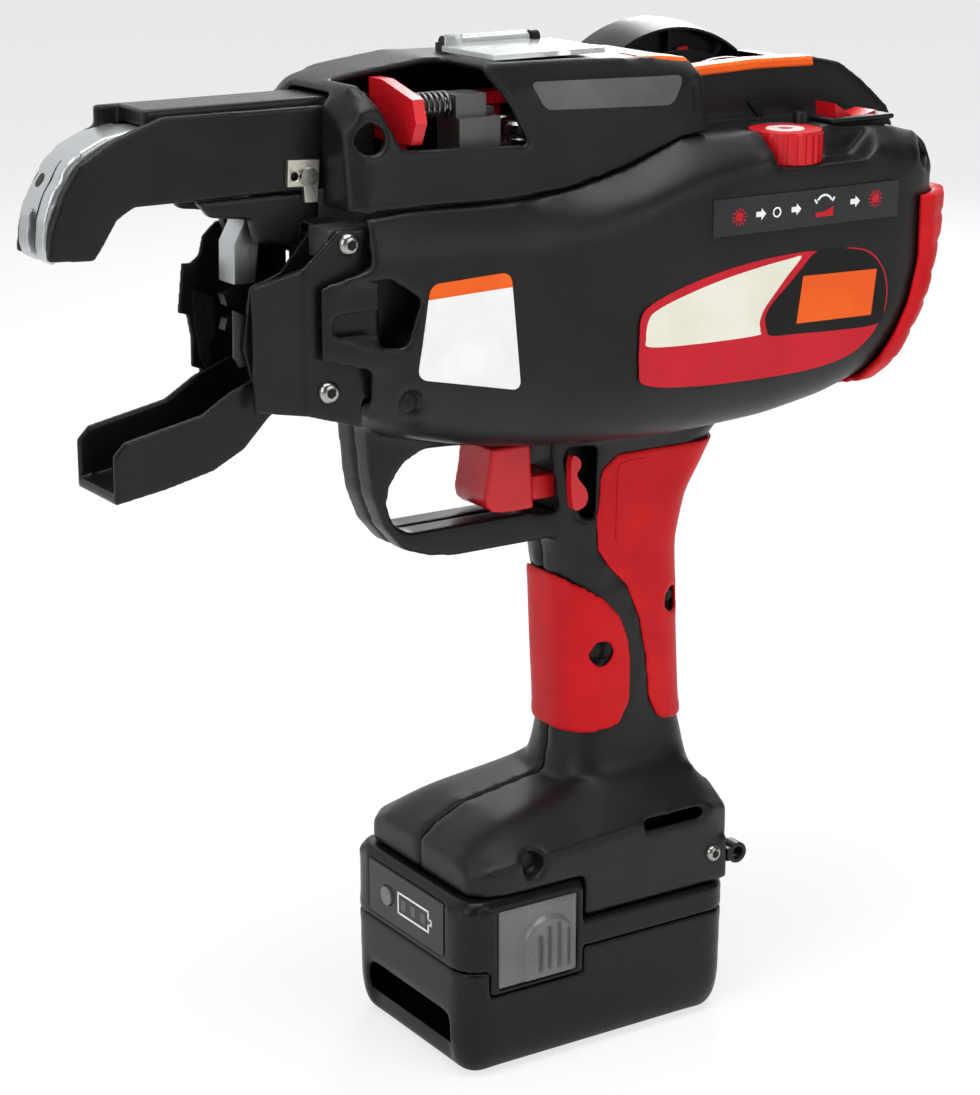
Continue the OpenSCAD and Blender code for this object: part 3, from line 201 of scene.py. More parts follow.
def moulded_skin(name, source, material, slot, voxel, rounds, flat_rounds, body="frame", split=False,
                 crease=0.972):
    bm = bmesh.new()
    bm.from_mesh(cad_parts[source].data)
    bmesh.ops.remove_doubles(bm, verts=bm.verts, dist=1e-6)
    skin = mesh_from(bm, name)
    remesh = skin.modifiers.new("remesh", "REMESH")
    remesh.mode = "VOXEL"
    remesh.voxel_size = voxel
    fine = bpy.data.meshes.new_from_object(skin.evaluated_get(bpy.context.evaluated_depsgraph_get()))
    skin.modifiers.clear()
    coarse = skin.data
    bm = bmesh.new()
    bm.from_mesh(fine)
    skin.data = fine
    bpy.data.meshes.remove(coarse)
    split_reach = 1.1 * voxel if split else 0.0
    on_split = [v for v in bm.verts if abs(v.co.y) < split_reach]
    free = [v for v in bm.verts if abs(v.co.y) >= split_reach]
    for _ in range(rounds):
        even_out(bm, free, 1)
        even_out(bm, on_split, 1, along_y=False)
    bm.normal_update()
    sharp = {v for v in free for e in v.link_edges if v.normal.dot(e.other_vert(v).normal) < crease}
    for _ in range(2):
        sharp |= {e.other_vert(v) for v in sharp for e in v.link_edges}
    even_out(bm, [v for v in free if v not in sharp], flat_rounds)
    for face in bm.faces:
        face.smooth = True
    bm.to_mesh(fine)
    bm.free()
    return fitted(skin, body, slot, material, source=source)


body_black = moulded("body_black_nylon", (0.005, 0.005, 0.0054), (0.0075, 0.0075, 0.008), rough=0.4,
                     gloss=0.28)
half_skin = {"voxel": 0.0012, "rounds": 4, "flat_rounds": 60, "split": True}
left_half = moulded_skin("left_body_half", "left_housing", body_black, "body_black", **half_skin)
moulded_skin("right_body_half", "right_housing", body_black, "body_black", **half_skin)

# Top cover over the wire feed, the same nylon, with a flap that turns on a black nylon hinge
# above the gears. The flap is clear polycarbonate, a little hazy.
top_cover = moulded_skin("top_cover", "upper_cover", body_black, "body_black", voxel=0.0009, rounds=4,
                         flat_rounds=60)


def dress(source, material, edge=0.0):
    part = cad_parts[source]
    part.data.materials.clear()
    part.data.materials.append(material)
    if edge:
        weld = part.modifiers.new("weld", "WELD")
        weld.merge_threshold = 1e-6
        rounding = part.modifiers.new("edges", "BEVEL")
        rounding.width = edge
        rounding.segments = 2
        rounding.limit_method = "ANGLE"
        rounding.angle_limit = math.radians(32)
        rounding.use_clamp_overlap = True
        evened = part.modifiers.new("normals", "WEIGHTED_NORMAL")
        evened.weight = 100


clear_flap, tree, shader, texture = start_material("clear_polycarbonate", grain=260.0)
shader.inputs["Transmission Weight"].default_value = 0.72
shader.inputs["IOR"].default_value = 1.4
colour = shade(tree, "Mix", {0: texture.outputs["Mottle"], 6: (0.86, 0.9, 0.9, 1), 7: (0.94, 0.96, 0.96, 1)},
               data_type="RGBA")
haze = shade(tree, "MapRange", {"Value": texture.outputs["Pits"], "To Min": 0.05, "To Max": 0.22})
tree.links.new(colour.outputs[2], shader.inputs["Base Color"])
tree.links.new(haze.outputs[0], shader.inputs["Roughness"])
dress("feed_window", clear_flap, edge=0.0004)
dress("window_hinge", body_black, edge=0.0003)

# Rear bumper and grip pads. Soft thermoplastic rubber moulded over the nylon, dull red;
# the bumper bulges to the rear and has shallow cross grooves, the pads are plain.
def eased(piece, rounds, chosen=lambda spot: True):
    bm = bmesh.new()
    bm.from_mesh(piece.data)
    even_out(bm, [v for v in bm.verts if chosen(v.co)], rounds)
    bm.to_mesh(piece.data)
    bm.free()


soft_red = moulded("soft_red_rubber", (0.5, 0.004, 0.008), (0.58, 0.006, 0.01), rough=0.5, grain=1500.0,
                   depth=0.15, gloss=0.16)
rubber_skin = {"voxel": 0.0009, "rounds": 4, "flat_rounds": 40}
bumper = moulded_skin("bumper", "rear_bumper", soft_red, "soft_red", **rubber_skin)
rib_pitch, groove_depth, groove_share, bulge = 0.0095, 0.0011, 0.3, 0.004
for vert in bumper.data.vertices:
    rearward = min(1.0, max(0.0, 2 * vert.normal.x))
    wave = math.cos(2 * math.pi * vert.co.z / rib_pitch)
    groove = max(0.0, wave - 1 + groove_share) / groove_share
    vert.co.x += rearward * (bulge - groove_depth * groove)
eased(bumper, rounds=3)
moulded_skin("front_pad", "front_grip_pad", soft_red, "soft_red", **rubber_skin)
rear_pad = moulded_skin("rear_pad", "rear_grip_pad", soft_red, "soft_red", **rubber_skin)

# Side badge. Thin printed film on the left side, in plain fields of red, cream, black and
# orange that lie one on another.
def printed(name, dark, light):
    return moulded(name, dark, light, rough=0.38, grain=900.0, depth=0.05, gloss=0.2)


film_red = printed("film_red", (0.5, 0.008, 0.018), (0.56, 0.012, 0.024))
film_cream = printed("film_cream", (0.76, 0.74, 0.63), (0.82, 0.8, 0.7))
# Black film: print on the badge, and also laid as painted shade over the cover slot, the nose slit and hole
# and the screw sockets.
black_print_and_painted_shade = printed("black_print_and_painted_shade", (0.005, 0.005, 0.005), (0.008, 0.008, 0.008))
film_orange = printed("film_orange", (0.8, 0.1, 0.008), (0.86, 0.13, 0.012))


def metres(*millimetres):
    return Vector([value / 1000 for value in millimetres])


def face_left(bm):
    bm.normal_update()
    for face in bm.faces:
        if face.normal.y > 0:
            face.normal_flip()


def second_face(bm):
    walls = bmesh.ops.extrude_face_region(bm, geom=bm.faces[:], use_keep_orig=True)
    return [part for part in walls["geom"] if isinstance(part, bmesh.types.BMVert)]


def marks(name, shapes, depth, material, body="frame", slot="panel_grey", turn=0.0, thick=0.12):
    bm = bmesh.new()
    for shape in shapes:
        bm.faces.new([bm.verts.new(metres(x, depth, z)) for x, z in shape])
    face_left(bm)
    bmesh.ops.translate(bm, verts=second_face(bm), vec=metres(0, -thick, 0))
    bmesh.ops.recalc_face_normals(bm, faces=bm.faces)
    bmesh.ops.rotate(bm, verts=bm.verts, matrix=Matrix.Rotation(turn, 3, "Z"))
    return fitted(mesh_from(bm, name, smooth=False), body, slot, material)


def flowing(points, steps=6):
    line = []
    for k in range(len(points)):
        a, b, c, d = (Vector(points[(k + n) % len(points)]) for n in (-1, 0, 1, 2))
        for n in range(steps):
            t = n / steps
            line.append(tuple(0.5 * (2 * b + (c - a) * t + (2 * a - 5 * b + 4 * c - d) * t ** 2
                                     + (3 * b - a - 3 * c + d) * t ** 3)))
    return line


badge_red = [(77, 270), (69, 269.7), (53.2, 268.8), (37.7, 266.7), (22.4, 263.3), (10, 259), (5.6, 255),
             (5, 246.9), (5, 239), (7.6, 233), (28.4, 230.1), (60, 229.4), (80, 230.4), (92.5, 233.2),
             (100, 237.8), (103.7, 242.1), (106.8, 247.4), (107.2, 254.3), (105, 261), (99.4, 266.8),
             (90.7, 269.2)]
badge_cream = [(69.7, 268.2), (64.8, 268), (53.3, 266.6), (37.7, 264), (22.5, 260.4), (12, 257), (8.4, 254),
               (7.4, 248.1), (9.4, 245.2), (28, 244.1), (51.5, 244), (53.4, 245.4), (53.1, 248.4),
               (54.8, 252.4), (58.9, 257), (64, 262.4)]
badge_black = [(77.1, 269.6), (90.5, 268.8), (98.8, 266.5), (104.4, 261), (106.6, 254.3), (106.2, 247.4),
               (103.2, 242.2), (86.5, 241.9), (70.1, 242.6), (58.3, 243.2), (56.1, 245.5), (55.5, 249.8),
               (58, 253.8), (64.1, 259), (69.3, 263.6)]
badge_orange = [(70.7, 261.7), (102.1, 260.9), (100.3, 245.5), (68.4, 246.1)]
marks("badge_red_field", [flowing(badge_red)], -46.9, film_red, thick=0.3)
marks("badge_cream_field", [flowing(badge_cream)], -47.1, film_cream, thick=0.18)
marks("badge_black_field", [flowing(badge_black)], -47.1, black_print_and_painted_shade, thick=0.18)
marks("badge_orange_field", [badge_orange], -47.2, film_orange, thick=0.16)

# Films and plaque on curved faces. Printed film on the side and on the top cover, black film over the slot
# in the cover as painted shade for its recess, and a plain raised plaque on the rear pad, each laid on the
# face below it.
film_white = printed("film_white", (0.8, 0.8, 0.8), (0.88, 0.88, 0.88))
film_grey = printed("film_grey", (0.075, 0.078, 0.082), (0.1, 0.103, 0.108))


def surface_of(piece):
    corners = [vert.co for vert in piece.data.vertices]
    return BVHTree.FromPolygons(corners, [face.vertices for face in piece.data.polygons])


def bisected(bm, point, across, clear_outer=False):
    bmesh.ops.bisect_plane(bm, geom=bm.verts[:] + bm.edges[:] + bm.faces[:], dist=1e-7, plane_co=point,
                           plane_no=across, clear_outer=clear_outer)


def film_on(name, carrier, outline, corner, material, top_band=None, thick=0.3):
    shape = bmesh.new()
    shape.faces.new([shape.verts.new(metres(x, 0, z)) for x, z in outline])
    bmesh.ops.bevel(shape, geom=shape.verts[:], offset=corner / 1000, affect="VERTICES", segments=5,
                    profile=0.5, material=-1)
    middle = sum((v.co for v in shape.verts), Vector()) / len(shape.verts)
    reach = max((v.co - middle).length for v in shape.verts)
    bm = bmesh.new()
    bmesh.ops.create_grid(bm, x_segments=40, y_segments=40, size=reach)
    bmesh.ops.rotate(bm, verts=bm.verts, matrix=Matrix.Rotation(math.pi / 2, 3, "X"))
    bmesh.ops.translate(bm, verts=bm.verts, vec=middle)
    for side in shape.edges:
        start, end = side.verts[0].co, side.verts[1].co
        across = (end - start).cross(Vector((0, 1, 0)))
        if across.dot(start - middle) < 0:
            across.negate()
        bisected(bm, start, across, clear_outer=True)
    shape.free()
    materials = [material]
    if top_band:
        band_material, band_x, band_z, band_slope = top_band
        materials.append(band_material)
        band_start, band_across = metres(band_x, 0, band_z), Vector((-band_slope, 0, 1))
        bisected(bm, band_start, band_across)
        for face in bm.faces:
            above = (face.calc_center_median() - band_start).dot(band_across)
            face.material_index = 1 if above > 0 else 0
    ground = surface_of(carrier)
    for vert in bm.verts:
        hit = ground.ray_cast(Vector((vert.co.x, -0.1, vert.co.z)), Vector((0, 1, 0)))[0]
        vert.co.y = hit.y - thick / 1000
    face_left(bm)
    bmesh.ops.translate(bm, verts=second_face(bm), vec=metres(0, 2 * thick, 0))
    bmesh.ops.recalc_face_normals(bm, faces=bm.faces)
    fitted(mesh_from(bm, name, smooth=False), "frame", "panel_grey", *materials)


sticker_edge = [(-67.2, 272.0), (-38.9, 273.3), (-35.3, 235.4), (-71.8, 243.0)]
panel_edge = [(-25.1, 329.4), (33.2, 327.9), (27.2, 319.1), (-20.8, 320.7)]
slot_edge = [(35.9, 324.6), (36.7, 324.4), (36.1, 316.2), (35.3, 316.4)]
plaque_edge = [(17.2, 200), (30.6, 200), (30.6, 171), (17.2, 171)]
film_on("side_sticker", left_half, sticker_edge, 3.0, film_white, top_band=(film_orange, -67, 267.4, 0.04))
film_on("cover_panel", top_cover, panel_edge, 2.5, film_grey)
# Black film over the cover's slot: painted shade for the slot's recess.
film_on("cover_slot_painted_shade", top_cover, slot_edge, 0.3, black_print_and_painted_shade, thick=0.2)
film_on("grip_plaque", rear_pad, plaque_edge, 3.0, soft_red, thick=0.25)

# Orange strips. Film folded over the left top edge of the hump and of the cover behind the
# flap, following the top line of the moulding.
def edge_strip(name, carrier, start, end, rows, material, steps=60, thick=0.25):
    ground = surface_of(carrier)
    bm = bmesh.new()
    ladder = []
    for k in range(steps + 1):
        x = (start + (end - start) * k / steps) / 1000
        top = ground.ray_cast(Vector((x, rows[-1][0] / 1000, 0.5)), Vector((0, 0, -1)))[0].z
        ladder.append([bm.verts.new((x, y / 1000, top + (thick - drop) / 1000)) for y, drop in rows])
    for first, second in zip(ladder, ladder[1:]):
        for n in range(len(rows) - 1):
            bm.faces.new((first[n], second[n], second[n + 1], first[n + 1]))
    bmesh.ops.translate(bm, verts=second_face(bm), vec=metres(0, thick, -2 * thick))
    bmesh.ops.recalc_face_normals(bm, faces=bm.faces)
    fitted(mesh_from(bm, name, smooth=False), "frame", "panel_grey", material)


hump_rows = [(-14.4, 2.6), (-14.2, 0.9), (-13.2, 0.0), (-6, 0.0)]
cover_rows = [(-25, 2.1), (-23, 0.2), (-22, 0.0), (-13, 0.0)]
edge_strip("hump_strip", left_half, 46, 99, hump_rows, film_orange)
edge_strip("cover_strip", top_cover, 20, 39, cover_rows, film_orange)

# Mouth plates, arm covers, guide blocks, claws and lower guide. Stamped and bent steel with a
# satin black coat, held by screws and cross pins; the claws' lips are rubbed smoother.
black_coat = moulded("satin_black_coat", (0.004, 0.004, 0.0044), (0.007, 0.007, 0.0075), rough=0.32,
                     grain=900.0, depth=0.06, gloss=0.28)
worn_coat = moulded("worn_coat", (0.011, 0.011, 0.0115), (0.014, 0.014, 0.0145), rough=0.3, grain=900.0,
                    depth=0.04, gloss=0.4)
plate_skin = {"voxel": 0.0007, "rounds": 3, "flat_rounds": 40}
arm_skin = {"voxel": 0.0006, "rounds": 6, "flat_rounds": 60, "crease": 0.93}
block_skin = {"voxel": 0.0006, "rounds": 4, "flat_rounds": 40}
claw_skin = {"voxel": 0.0004, "rounds": 2, "flat_rounds": 30, "body": "contact"}
jaw_skin = {"voxel": 0.0006, "rounds": 3, "flat_rounds": 40, "body": "guide", "crease": 0.93}
moulded_skin("left_mouth_plate", "left_front_plate", black_coat, "black_steel", **plate_skin)
moulded_skin("right_mouth_plate", "right_front_plate", black_coat, "black_steel", **plate_skin)
moulded_skin("arm_left_skin", "arm_left_cover", black_coat, "black_steel", **arm_skin)
moulded_skin("arm_right_skin", "arm_right_cover", black_coat, "black_steel", **arm_skin)
moulded_skin("hook_blocks", "hook_guides", black_coat, "black_steel", **block_skin)
moulded_skin("bar_claws", "contact_plates", black_coat, "black_steel", **claw_skin)
far_blade = [(-121.9, 268), (-114.4, 264.9), (-114.4, 253.8), (-116.6, 249.4), (-116.3, 244.8),
             (-112.7, 237.3), (-115.7, 239.3), (-119.7, 245.9), (-121.4, 257.7)]
near_blade = [(-122, 266), (-118.4, 264.1), (-118.9, 253.7), (-118.2, 248.4), (-120.6, 248.4),
              (-122.3, 251.4)]
marks("far_claw_blade", [far_blade], 13.9, worn_coat, "contact", "black_steel", thick=0.9)
marks("near_claw_blade", [near_blade], -13, worn_coat, "contact", "black_steel", thick=0.9)
moulded_skin("lower_jaw", "lower_guide", black_coat, "black_steel", **jaw_skin)

# Arm nose, wire guide and bracket. The nose and the guide are bare hardened steel, ground
# smooth, the nose with a fine slit and a hole; the bracket is zinc plated and screwed on.
def bare_metal(name, dark, light, rough, stretch=(1, 1, 1), grain=900.0, depth=0.1):
    made = bpy.data.materials.new(name)
    made.use_nodes = True
    tree = made.node_tree
    shader = tree.nodes["Principled BSDF"]
    shader.inputs["Metallic"].default_value = 1.0
    lay = shade(tree, "Mapping", {"Vector": shade(tree, "TexCoord").outputs["Object"], "Scale": stretch})
    lines = shade(tree, "TexNoise", {"Vector": lay.outputs[0], "Scale": grain, "Detail": 3.0})
    stain = shade(tree, "TexNoise", {"Vector": lay.outputs[0], "Scale": 60.0, "Detail": 4.0})
    colour = shade(tree, "Mix", {0: stain.outputs["Fac"], 6: (*dark, 1), 7: (*light, 1)}, data_type="RGBA")
    sheen = shade(tree, "MapRange", {"Value": lines.outputs["Fac"],
                                     "To Min": rough - 0.08, "To Max": rough + 0.1})
    bump = shade(tree, "Bump", {"Height": lines.outputs["Fac"], "Strength": depth, "Distance": 0.0002})
    tree.links.new(colour.outputs[2], shader.inputs["Base Color"])
    tree.links.new(sheen.outputs[0], shader.inputs["Roughness"])
    tree.links.new(bump.outputs[0], shader.inputs["Normal"])
    return made


bare_steel = bare_metal("bare_steel", (0.42, 0.44, 0.45), (0.58, 0.6, 0.61), rough=0.36, stretch=(1, 1, 0.15))
bright_steel = bare_metal("bright_screw_steel", (0.3, 0.295, 0.28), (0.42, 0.41, 0.39), rough=0.24)
zinc = bare_metal("zinc_plate", (0.62, 0.6, 0.5), (0.78, 0.76, 0.66), rough=0.34)
nose = moulded_skin("arm_nose", "curl_guide", bare_steel, "steel", voxel=0.0006, rounds=5, flat_rounds=80,
                    crease=0.9)
bend_x, bend_z = -0.168, 0.302
eased(nose, rounds=30, chosen=lambda spot: spot.x < bend_x and spot.z > bend_z)


def disc(x, z, radius, count=24):
    turns = [2 * math.pi * k / count for k in range(count)]
    return [(x + radius * math.cos(t), z + radius * math.sin(t)) for t in turns]


# Lays black film on the nose's front: painted shade standing for the depth of the slit and the hole.
def nose_shade_film(name, shapes, material, lift=0.15, thick=0.6):
    ground = surface_of(nose)
    bm = bmesh.new()
    for shape in shapes:
        hits = [ground.ray_cast(metres(-250, y, z), Vector((1, 0, 0)))[0] for y, z in shape]
        bm.faces.new([bm.verts.new(hit - metres(lift, 0, 0)) for hit in hits])
    bmesh.ops.remove_doubles(bm, verts=bm.verts, dist=1e-7)
    bmesh.ops.translate(bm, verts=second_face(bm), vec=metres(thick, 0, 0))
    bmesh.ops.recalc_face_normals(bm, faces=bm.faces)
    fitted(mesh_from(bm, name, smooth=False), "frame", "steel", material)


slit_left, slit_right, slit_rows = -3.65, -3.15, [288 + 2 * k for k in range(14)]
slit = [[(slit_left, low), (slit_right, low), (slit_right, high), (slit_left, high)]
        for low, high in zip(slit_rows, slit_rows[1:])]
# The slit and the hole as painted shade on the nose.
nose_shade_film("nose_holes_painted_shade", slit + [disc(3, 308, 1.9)], black_print_and_painted_shade)
dress("wire_guide", bare_steel, edge=0.0004)
dress("arm_bracket", zinc, edge=0.0002)
dress("arm_screw", bright_steel, edge=0.0002)
dress("cross_pins", bright_steel, edge=0.0002)

# Screws. Turned steel button heads with a hexagon socket, drawn as a flat black hexagon of painted shade:
# bright ones on the mouth plates, black ones deep in the holes of the clamshell.
def lathe(bm, points, axis, steps):
    line = [bm.verts.new(point) for point in points]
    edges = [bm.edges.new(pair) for pair in zip(line, line[1:])]
    bmesh.ops.spin(bm, geom=line + edges, cent=(0, 0, 0), axis=axis, angle=2 * math.pi, steps=steps,
                   use_merge=True)


def socket_screws(name, source, places, material, radius, rise, socket, neck=1.6, socket_lift=0.04):
    bm = bmesh.new()
    profile = [(0, rise), (0.6 * radius, rise), (0.86 * radius, 0.7 * rise), (radius, 0.1 * rise),
               (radius, -neck)]
    for x, y, z, way in places:
        lathe(bm, [metres(r, 0, h) for r, h in profile], (0, 0, 1), steps=32)
        # Black hexagon laid just over the head: painted shade for the socket's recess.
        key = bmesh.ops.create_circle(bm, cap_ends=True, segments=6, radius=socket / 1000)["verts"]
        bmesh.ops.translate(bm, verts=key, vec=metres(0, 0, rise + socket_lift))
        for face in {f for v in key for f in v.link_faces}:
            face.material_index = 1
        new = [v for v in bm.verts if not v.tag]
        bmesh.ops.rotate(bm, verts=new, matrix=Matrix.Rotation(-way * math.pi / 2, 3, "X"))
        bmesh.ops.translate(bm, verts=new, vec=metres(x, y, z))
        for vert in new:
            vert.tag = True
    bmesh.ops.remove_doubles(bm, verts=bm.verts, dist=1e-7)
    bmesh.ops.recalc_face_normals(bm, faces=[f for f in bm.faces if not f.material_index])
    fitted(mesh_from(bm, name), "frame", "steel", material, black_print_and_painted_shade, source=source)


# Screws in the clamshell's holes: their own black, kept very dark as painted shade of the deep holes they sit
# in.
dark_screw_and_hole_shade = moulded("black_screw_and_painted_hole_shade", (0.004, 0.004, 0.004), (0.008, 0.008, 0.008), rough=0.5, gloss=0.3)
plate_face = 30
plate_places = [(x, way * plate_face, z, way) for x, z in ((-91, 285.5), (-98.8, 241)) for way in (-1, 1)]
body_places = [(-72.6, -33, 235.2, -1), (127.5, -33, 296, -1), (-27, -31, 71.8, -1), (13, -13.5, 133.3, -1),
               (43, -11, 147.4, -1)]
socket_screws("plate_buttons", "plate_screws", plate_places, bright_steel, radius=3.6, rise=1.9, socket=1.7)
socket_screws("body_screws", "housing_screws", body_places, dark_screw_and_hole_shade, radius=3.6, rise=0.8, socket=1.7)

# Foot fittings. A black coated steel eye for a strap, and a bright button-head screw set into
# the left side of the foot.
foot_x, foot_z = 47.5, 59.5
foot_y = surface_of(left_half).ray_cast(metres(foot_x, -100, foot_z), Vector((0, 1, 0)))[0].y * 1000
socket_screws("foot_screw", None, [(foot_x, foot_y, foot_z, -1)], bright_steel, radius=3.0, rise=1.6,
              socket=1.5)
dress("strap_eye", black_coat, edge=0.0006)

# Twister, gears and cutter. Machined steel, left bright, turning in bores of the cast frame;
# the head that twists the wire has the same black coat as the mouth.
for source in ("twist_gear", "twist_shaft", "motor_pinion", "feed_drive_gear", "feed_idler_gear",
               "rotary_cutter", "lever_pin", "reel_spindle"):
    dress(source, bright_steel)
dress("hook_head", black_coat)

# Wire feed. A red painted lever on a pin, pressed back by a coil spring on the domed rod of a
# cast block; the block and the gear frame are die-cast and left as cast.
red_paint = moulded("red_paint", (0.54, 0.006, 0.012), (0.62, 0.009, 0.016), rough=0.3, grain=600.0,
                    depth=0.06, gloss=0.4)
as_cast = bare_metal("as_cast_alloy", (0.1, 0.1, 0.1), (0.17, 0.17, 0.165), rough=0.5, grain=500.0, depth=0.5)
spring_steel = bare_metal("spring_wire", (0.12, 0.12, 0.12), (0.2, 0.2, 0.2), rough=0.32)
dress("release_lever", red_paint, edge=0.0006)
dress("feed_block", as_cast, edge=0.0005)
dress("gear_frame", as_cast)


def coil(name, source, start, end, y, z, radius, wire, turns):
    bm = bmesh.new()
    ring = bmesh.ops.create_circle(bm, segments=10, radius=wire / 1000)["verts"]
    bmesh.ops.translate(bm, verts=ring, vec=metres(radius, 0, 0))
    bmesh.ops.rotate(bm, verts=ring, matrix=Matrix.Rotation(math.pi / 2, 3, "X"))
    steps = 28 * turns
    rise = (end - start - 2 * wire) / steps
    bmesh.ops.spin(bm, geom=bm.verts[:] + bm.edges[:], cent=(0, 0, 0), axis=(0, 0, 1),
                   dvec=metres(0, 0, rise), angle=2 * math.pi * turns, steps=steps)
    bmesh.ops.holes_fill(bm, edges=[e for e in bm.edges if e.is_boundary])
    bmesh.ops.rotate(bm, verts=bm.verts, matrix=Matrix.Rotation(math.pi / 2, 3, "Y"))
    bmesh.ops.translate(bm, verts=bm.verts, vec=metres(start + wire, y, z))
    bmesh.ops.recalc_face_normals(bm, faces=bm.faces)
    spring = fitted(mesh_from(bm, name), "frame", "steel", spring_steel, source=source)
    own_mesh(spring)


rod_y, rod_z = -19, 323.5
dome_line = [(-51.6, 0), (-51.4, 1.6), (-50.7, 2.6), (-49.6, 2.95), (-48.9, 2.95), (-48.9, 0)]
bm = bmesh.new()
lathe(bm, [metres(x, 0, r) for x, r in dome_line], (1, 0, 0), steps=32)
bmesh.ops.remove_doubles(bm, verts=bm.verts, dist=1e-7)
bmesh.ops.recalc_face_normals(bm, faces=bm.faces)
bmesh.ops.translate(bm, verts=bm.verts, vec=metres(0, rod_y, rod_z))
fitted(mesh_from(bm, "rod_dome"), "frame", "steel", bright_steel)
coil("lever_coil", "release_spring", -63.9, -49.1, rod_y, rod_z, radius=3.6, wire=0.6,
     turns=7)

# Reel. A moulded case and a round cap with radial ribs on a hinge, in a smooth black nylon,
# with an empty plastic reel inside and a small red mark printed on the cap.
reel_black = moulded("reel_black", (0.008, 0.008, 0.0085), (0.013, 0.013, 0.014), rough=0.34, gloss=0.3)
cap_mark = [(76, 325), (82, 325.4), (81, 328.4), (77, 328)]
dress("reel_cap", reel_black, edge=0.0008)
dress("reel_case", reel_black)
dress("reel_hinge", reel_black, edge=0.0003)
dress("wire_reel", reel_black)
marks("cap_mark", [cap_mark], 32.3, film_red, "cap", thick=0.3)

# Controls. A ribbed red dial on its switch and a red rocker in a black bezel, moulded plastic,
# on the top behind the cover, with a dark printed panel set in below them.
red_plastic = moulded("red_plastic", (0.54, 0.006, 0.011), (0.62, 0.009, 0.015), rough=0.32, grain=900.0,
                      depth=0.08, gloss=0.4)
panel_grey = moulded("panel_grey", (0.016, 0.018, 0.021), (0.022, 0.024, 0.027), rough=0.4, gloss=0.3)
dress("torque_dial", red_plastic, edge=0.0004)
dress("rocker_switch", red_plastic, edge=0.0006)
dress("switch_bezel", body_black, edge=0.0005)
dress("status_panel", panel_grey, edge=0.0004)
dress("dial_switch", body_black)


def bar(x, z, length, width, turn=0.0):
    c, s, u, v = math.cos(turn), math.sin(turn), length / 2, width / 2
    return [(x + a * c - b * s, z + a * s + b * c) for a, b in ((-u, -v), (u, -v), (u, v), (-u, v))]


def arrow(x, z, size):
    points = [(-1, -0.45), (0.1, -0.45), (0.1, -1), (1.1, 0), (0.1, 1), (0.1, 0.45), (-1, 0.45)]
    return [(x + u * size, z + v * size) for u, v in points]


def arc(x, z, radius, width, start, end, count=16):
    turns = [start + (end - start) * k / count for k in range(count + 1)]
    inner = radius - width
    outside = [(x + radius * math.cos(t), z + radius * math.sin(t)) for t in turns]
    return outside + [(x + inner * math.cos(t), z + inner * math.sin(t)) for t in reversed(turns)]


white_marks = [arrow(51.9, 284, 1.9), arrow(66.4, 284.2, 1.9), arrow(91.1, 284.6, 1.9),
               arc(58.5, 284, 1.7, 0.5, 0, math.pi), arc(58.5, 284, 1.7, 0.5, math.pi, 2 * math.pi),
               arc(78.2, 284.6, 3.6, 0.7, 0.5, 2.6), bar(81.9, 286.3, 1.6, 0.7, 0.9),
               bar(74.6, 286, 1.6, 0.7, 2.2)]
red_marks = [[(74.6, 280.8), (81.9, 280.8), (82, 284), (80, 283), (77.5, 282.3), (74.6, 282.3)]]
sun_r, ray_r, ray_length, ray_width, ray_count = 1.5, 2.4, 1.0, 0.45, 12
for x, z in ((43.2, 283.8), (99.8, 284.8)):
    red_marks.append(disc(x, z, sun_r))
    for k in range(ray_count):
        turn = 2 * math.pi * k / ray_count
        ray_x, ray_z = x + ray_r * math.cos(turn), z + ray_r * math.sin(turn)
        red_marks.append(bar(ray_x, ray_z, ray_length, ray_width, turn))
panel_face = -47.7
marks("panel_white_marks", white_marks, panel_face, film_white, thick=0.2)
marks("panel_red_marks", red_marks, panel_face, film_red, thick=0.2)

# Dial pointer, dial scale and signal lamp. A black moulded pointer beside the dial, a pale
# printed ring on top of it, and a small turned lamp housing behind it.
def turned(name, profile, x, y, material, body, slot):
    bm = bmesh.new()
    lathe(bm, [metres(r, 0, z) for r, z in profile], (0, 0, 1), steps=48)
    bmesh.ops.remove_doubles(bm, verts=bm.verts, dist=1e-7)
    bmesh.ops.recalc_face_normals(bm, faces=bm.faces)
    bmesh.ops.translate(bm, verts=bm.verts, vec=metres(x, y, 0))
    made = mesh_from(bm, name)
    edge = made.modifiers.new("edges", "EDGE_SPLIT")
    edge.split_angle = math.radians(40)
    fitted(made, body, slot, material)


dial_pale = printed("dial_pale", (0.72, 0.62, 0.62), (0.8, 0.72, 0.72))
pointer_edge = [(71.4, 315), (76.4, 315.8), (78.2, 309), (76.8, 308.8)]
scale_line = [(2.6, 308.2), (2.6, 308.6), (6.2, 308.6), (6.4, 308.4), (6.4, 308.2), (2.6, 308.2)]
lamp_line = [(0, 307), (2.9, 307), (2.9, 311.4), (2.5, 312), (1.4, 312), (1.2, 311.2), (0, 311.2)]
marks("dial_pointer", [pointer_edge], -13.4, body_black, thick=1.6)
turned("dial_scale", scale_line, 72, -34, dial_pale, "dial", "panel_grey")
turned("signal_lamp", lamp_line, 85.6, -25.4, body_black, "frame", "body_black")

# Trigger and its lock, moulded in the same red plastic. They run in a black guide frame inside
# the handle, and a small coil spring presses the trigger forwards.
moulded_skin("trigger_key", "trigger", red_plastic, "red_plastic", voxel=0.0006, rounds=4, flat_rounds=30,
             body="trigger")
lock_edge = [(-0.6, 203), (2.2, 203.4), (3.2, 200.6), (1.6, 197.4), (5.2, 192.4), (6, 189), (4.2, 186.2),
             (0, 187.2)]
lock_arm = marks("lock_arm", [flowing(lock_edge)], -15.2, red_plastic, "lock", "red_plastic", thick=2.8)
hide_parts("trigger_lock")
dress("trigger_frame", body_black)
coil("trigger_coil", "trigger_spring", 3.2, 21.8, 0, 192.25, radius=2.6, wire=0.4, turns=8)

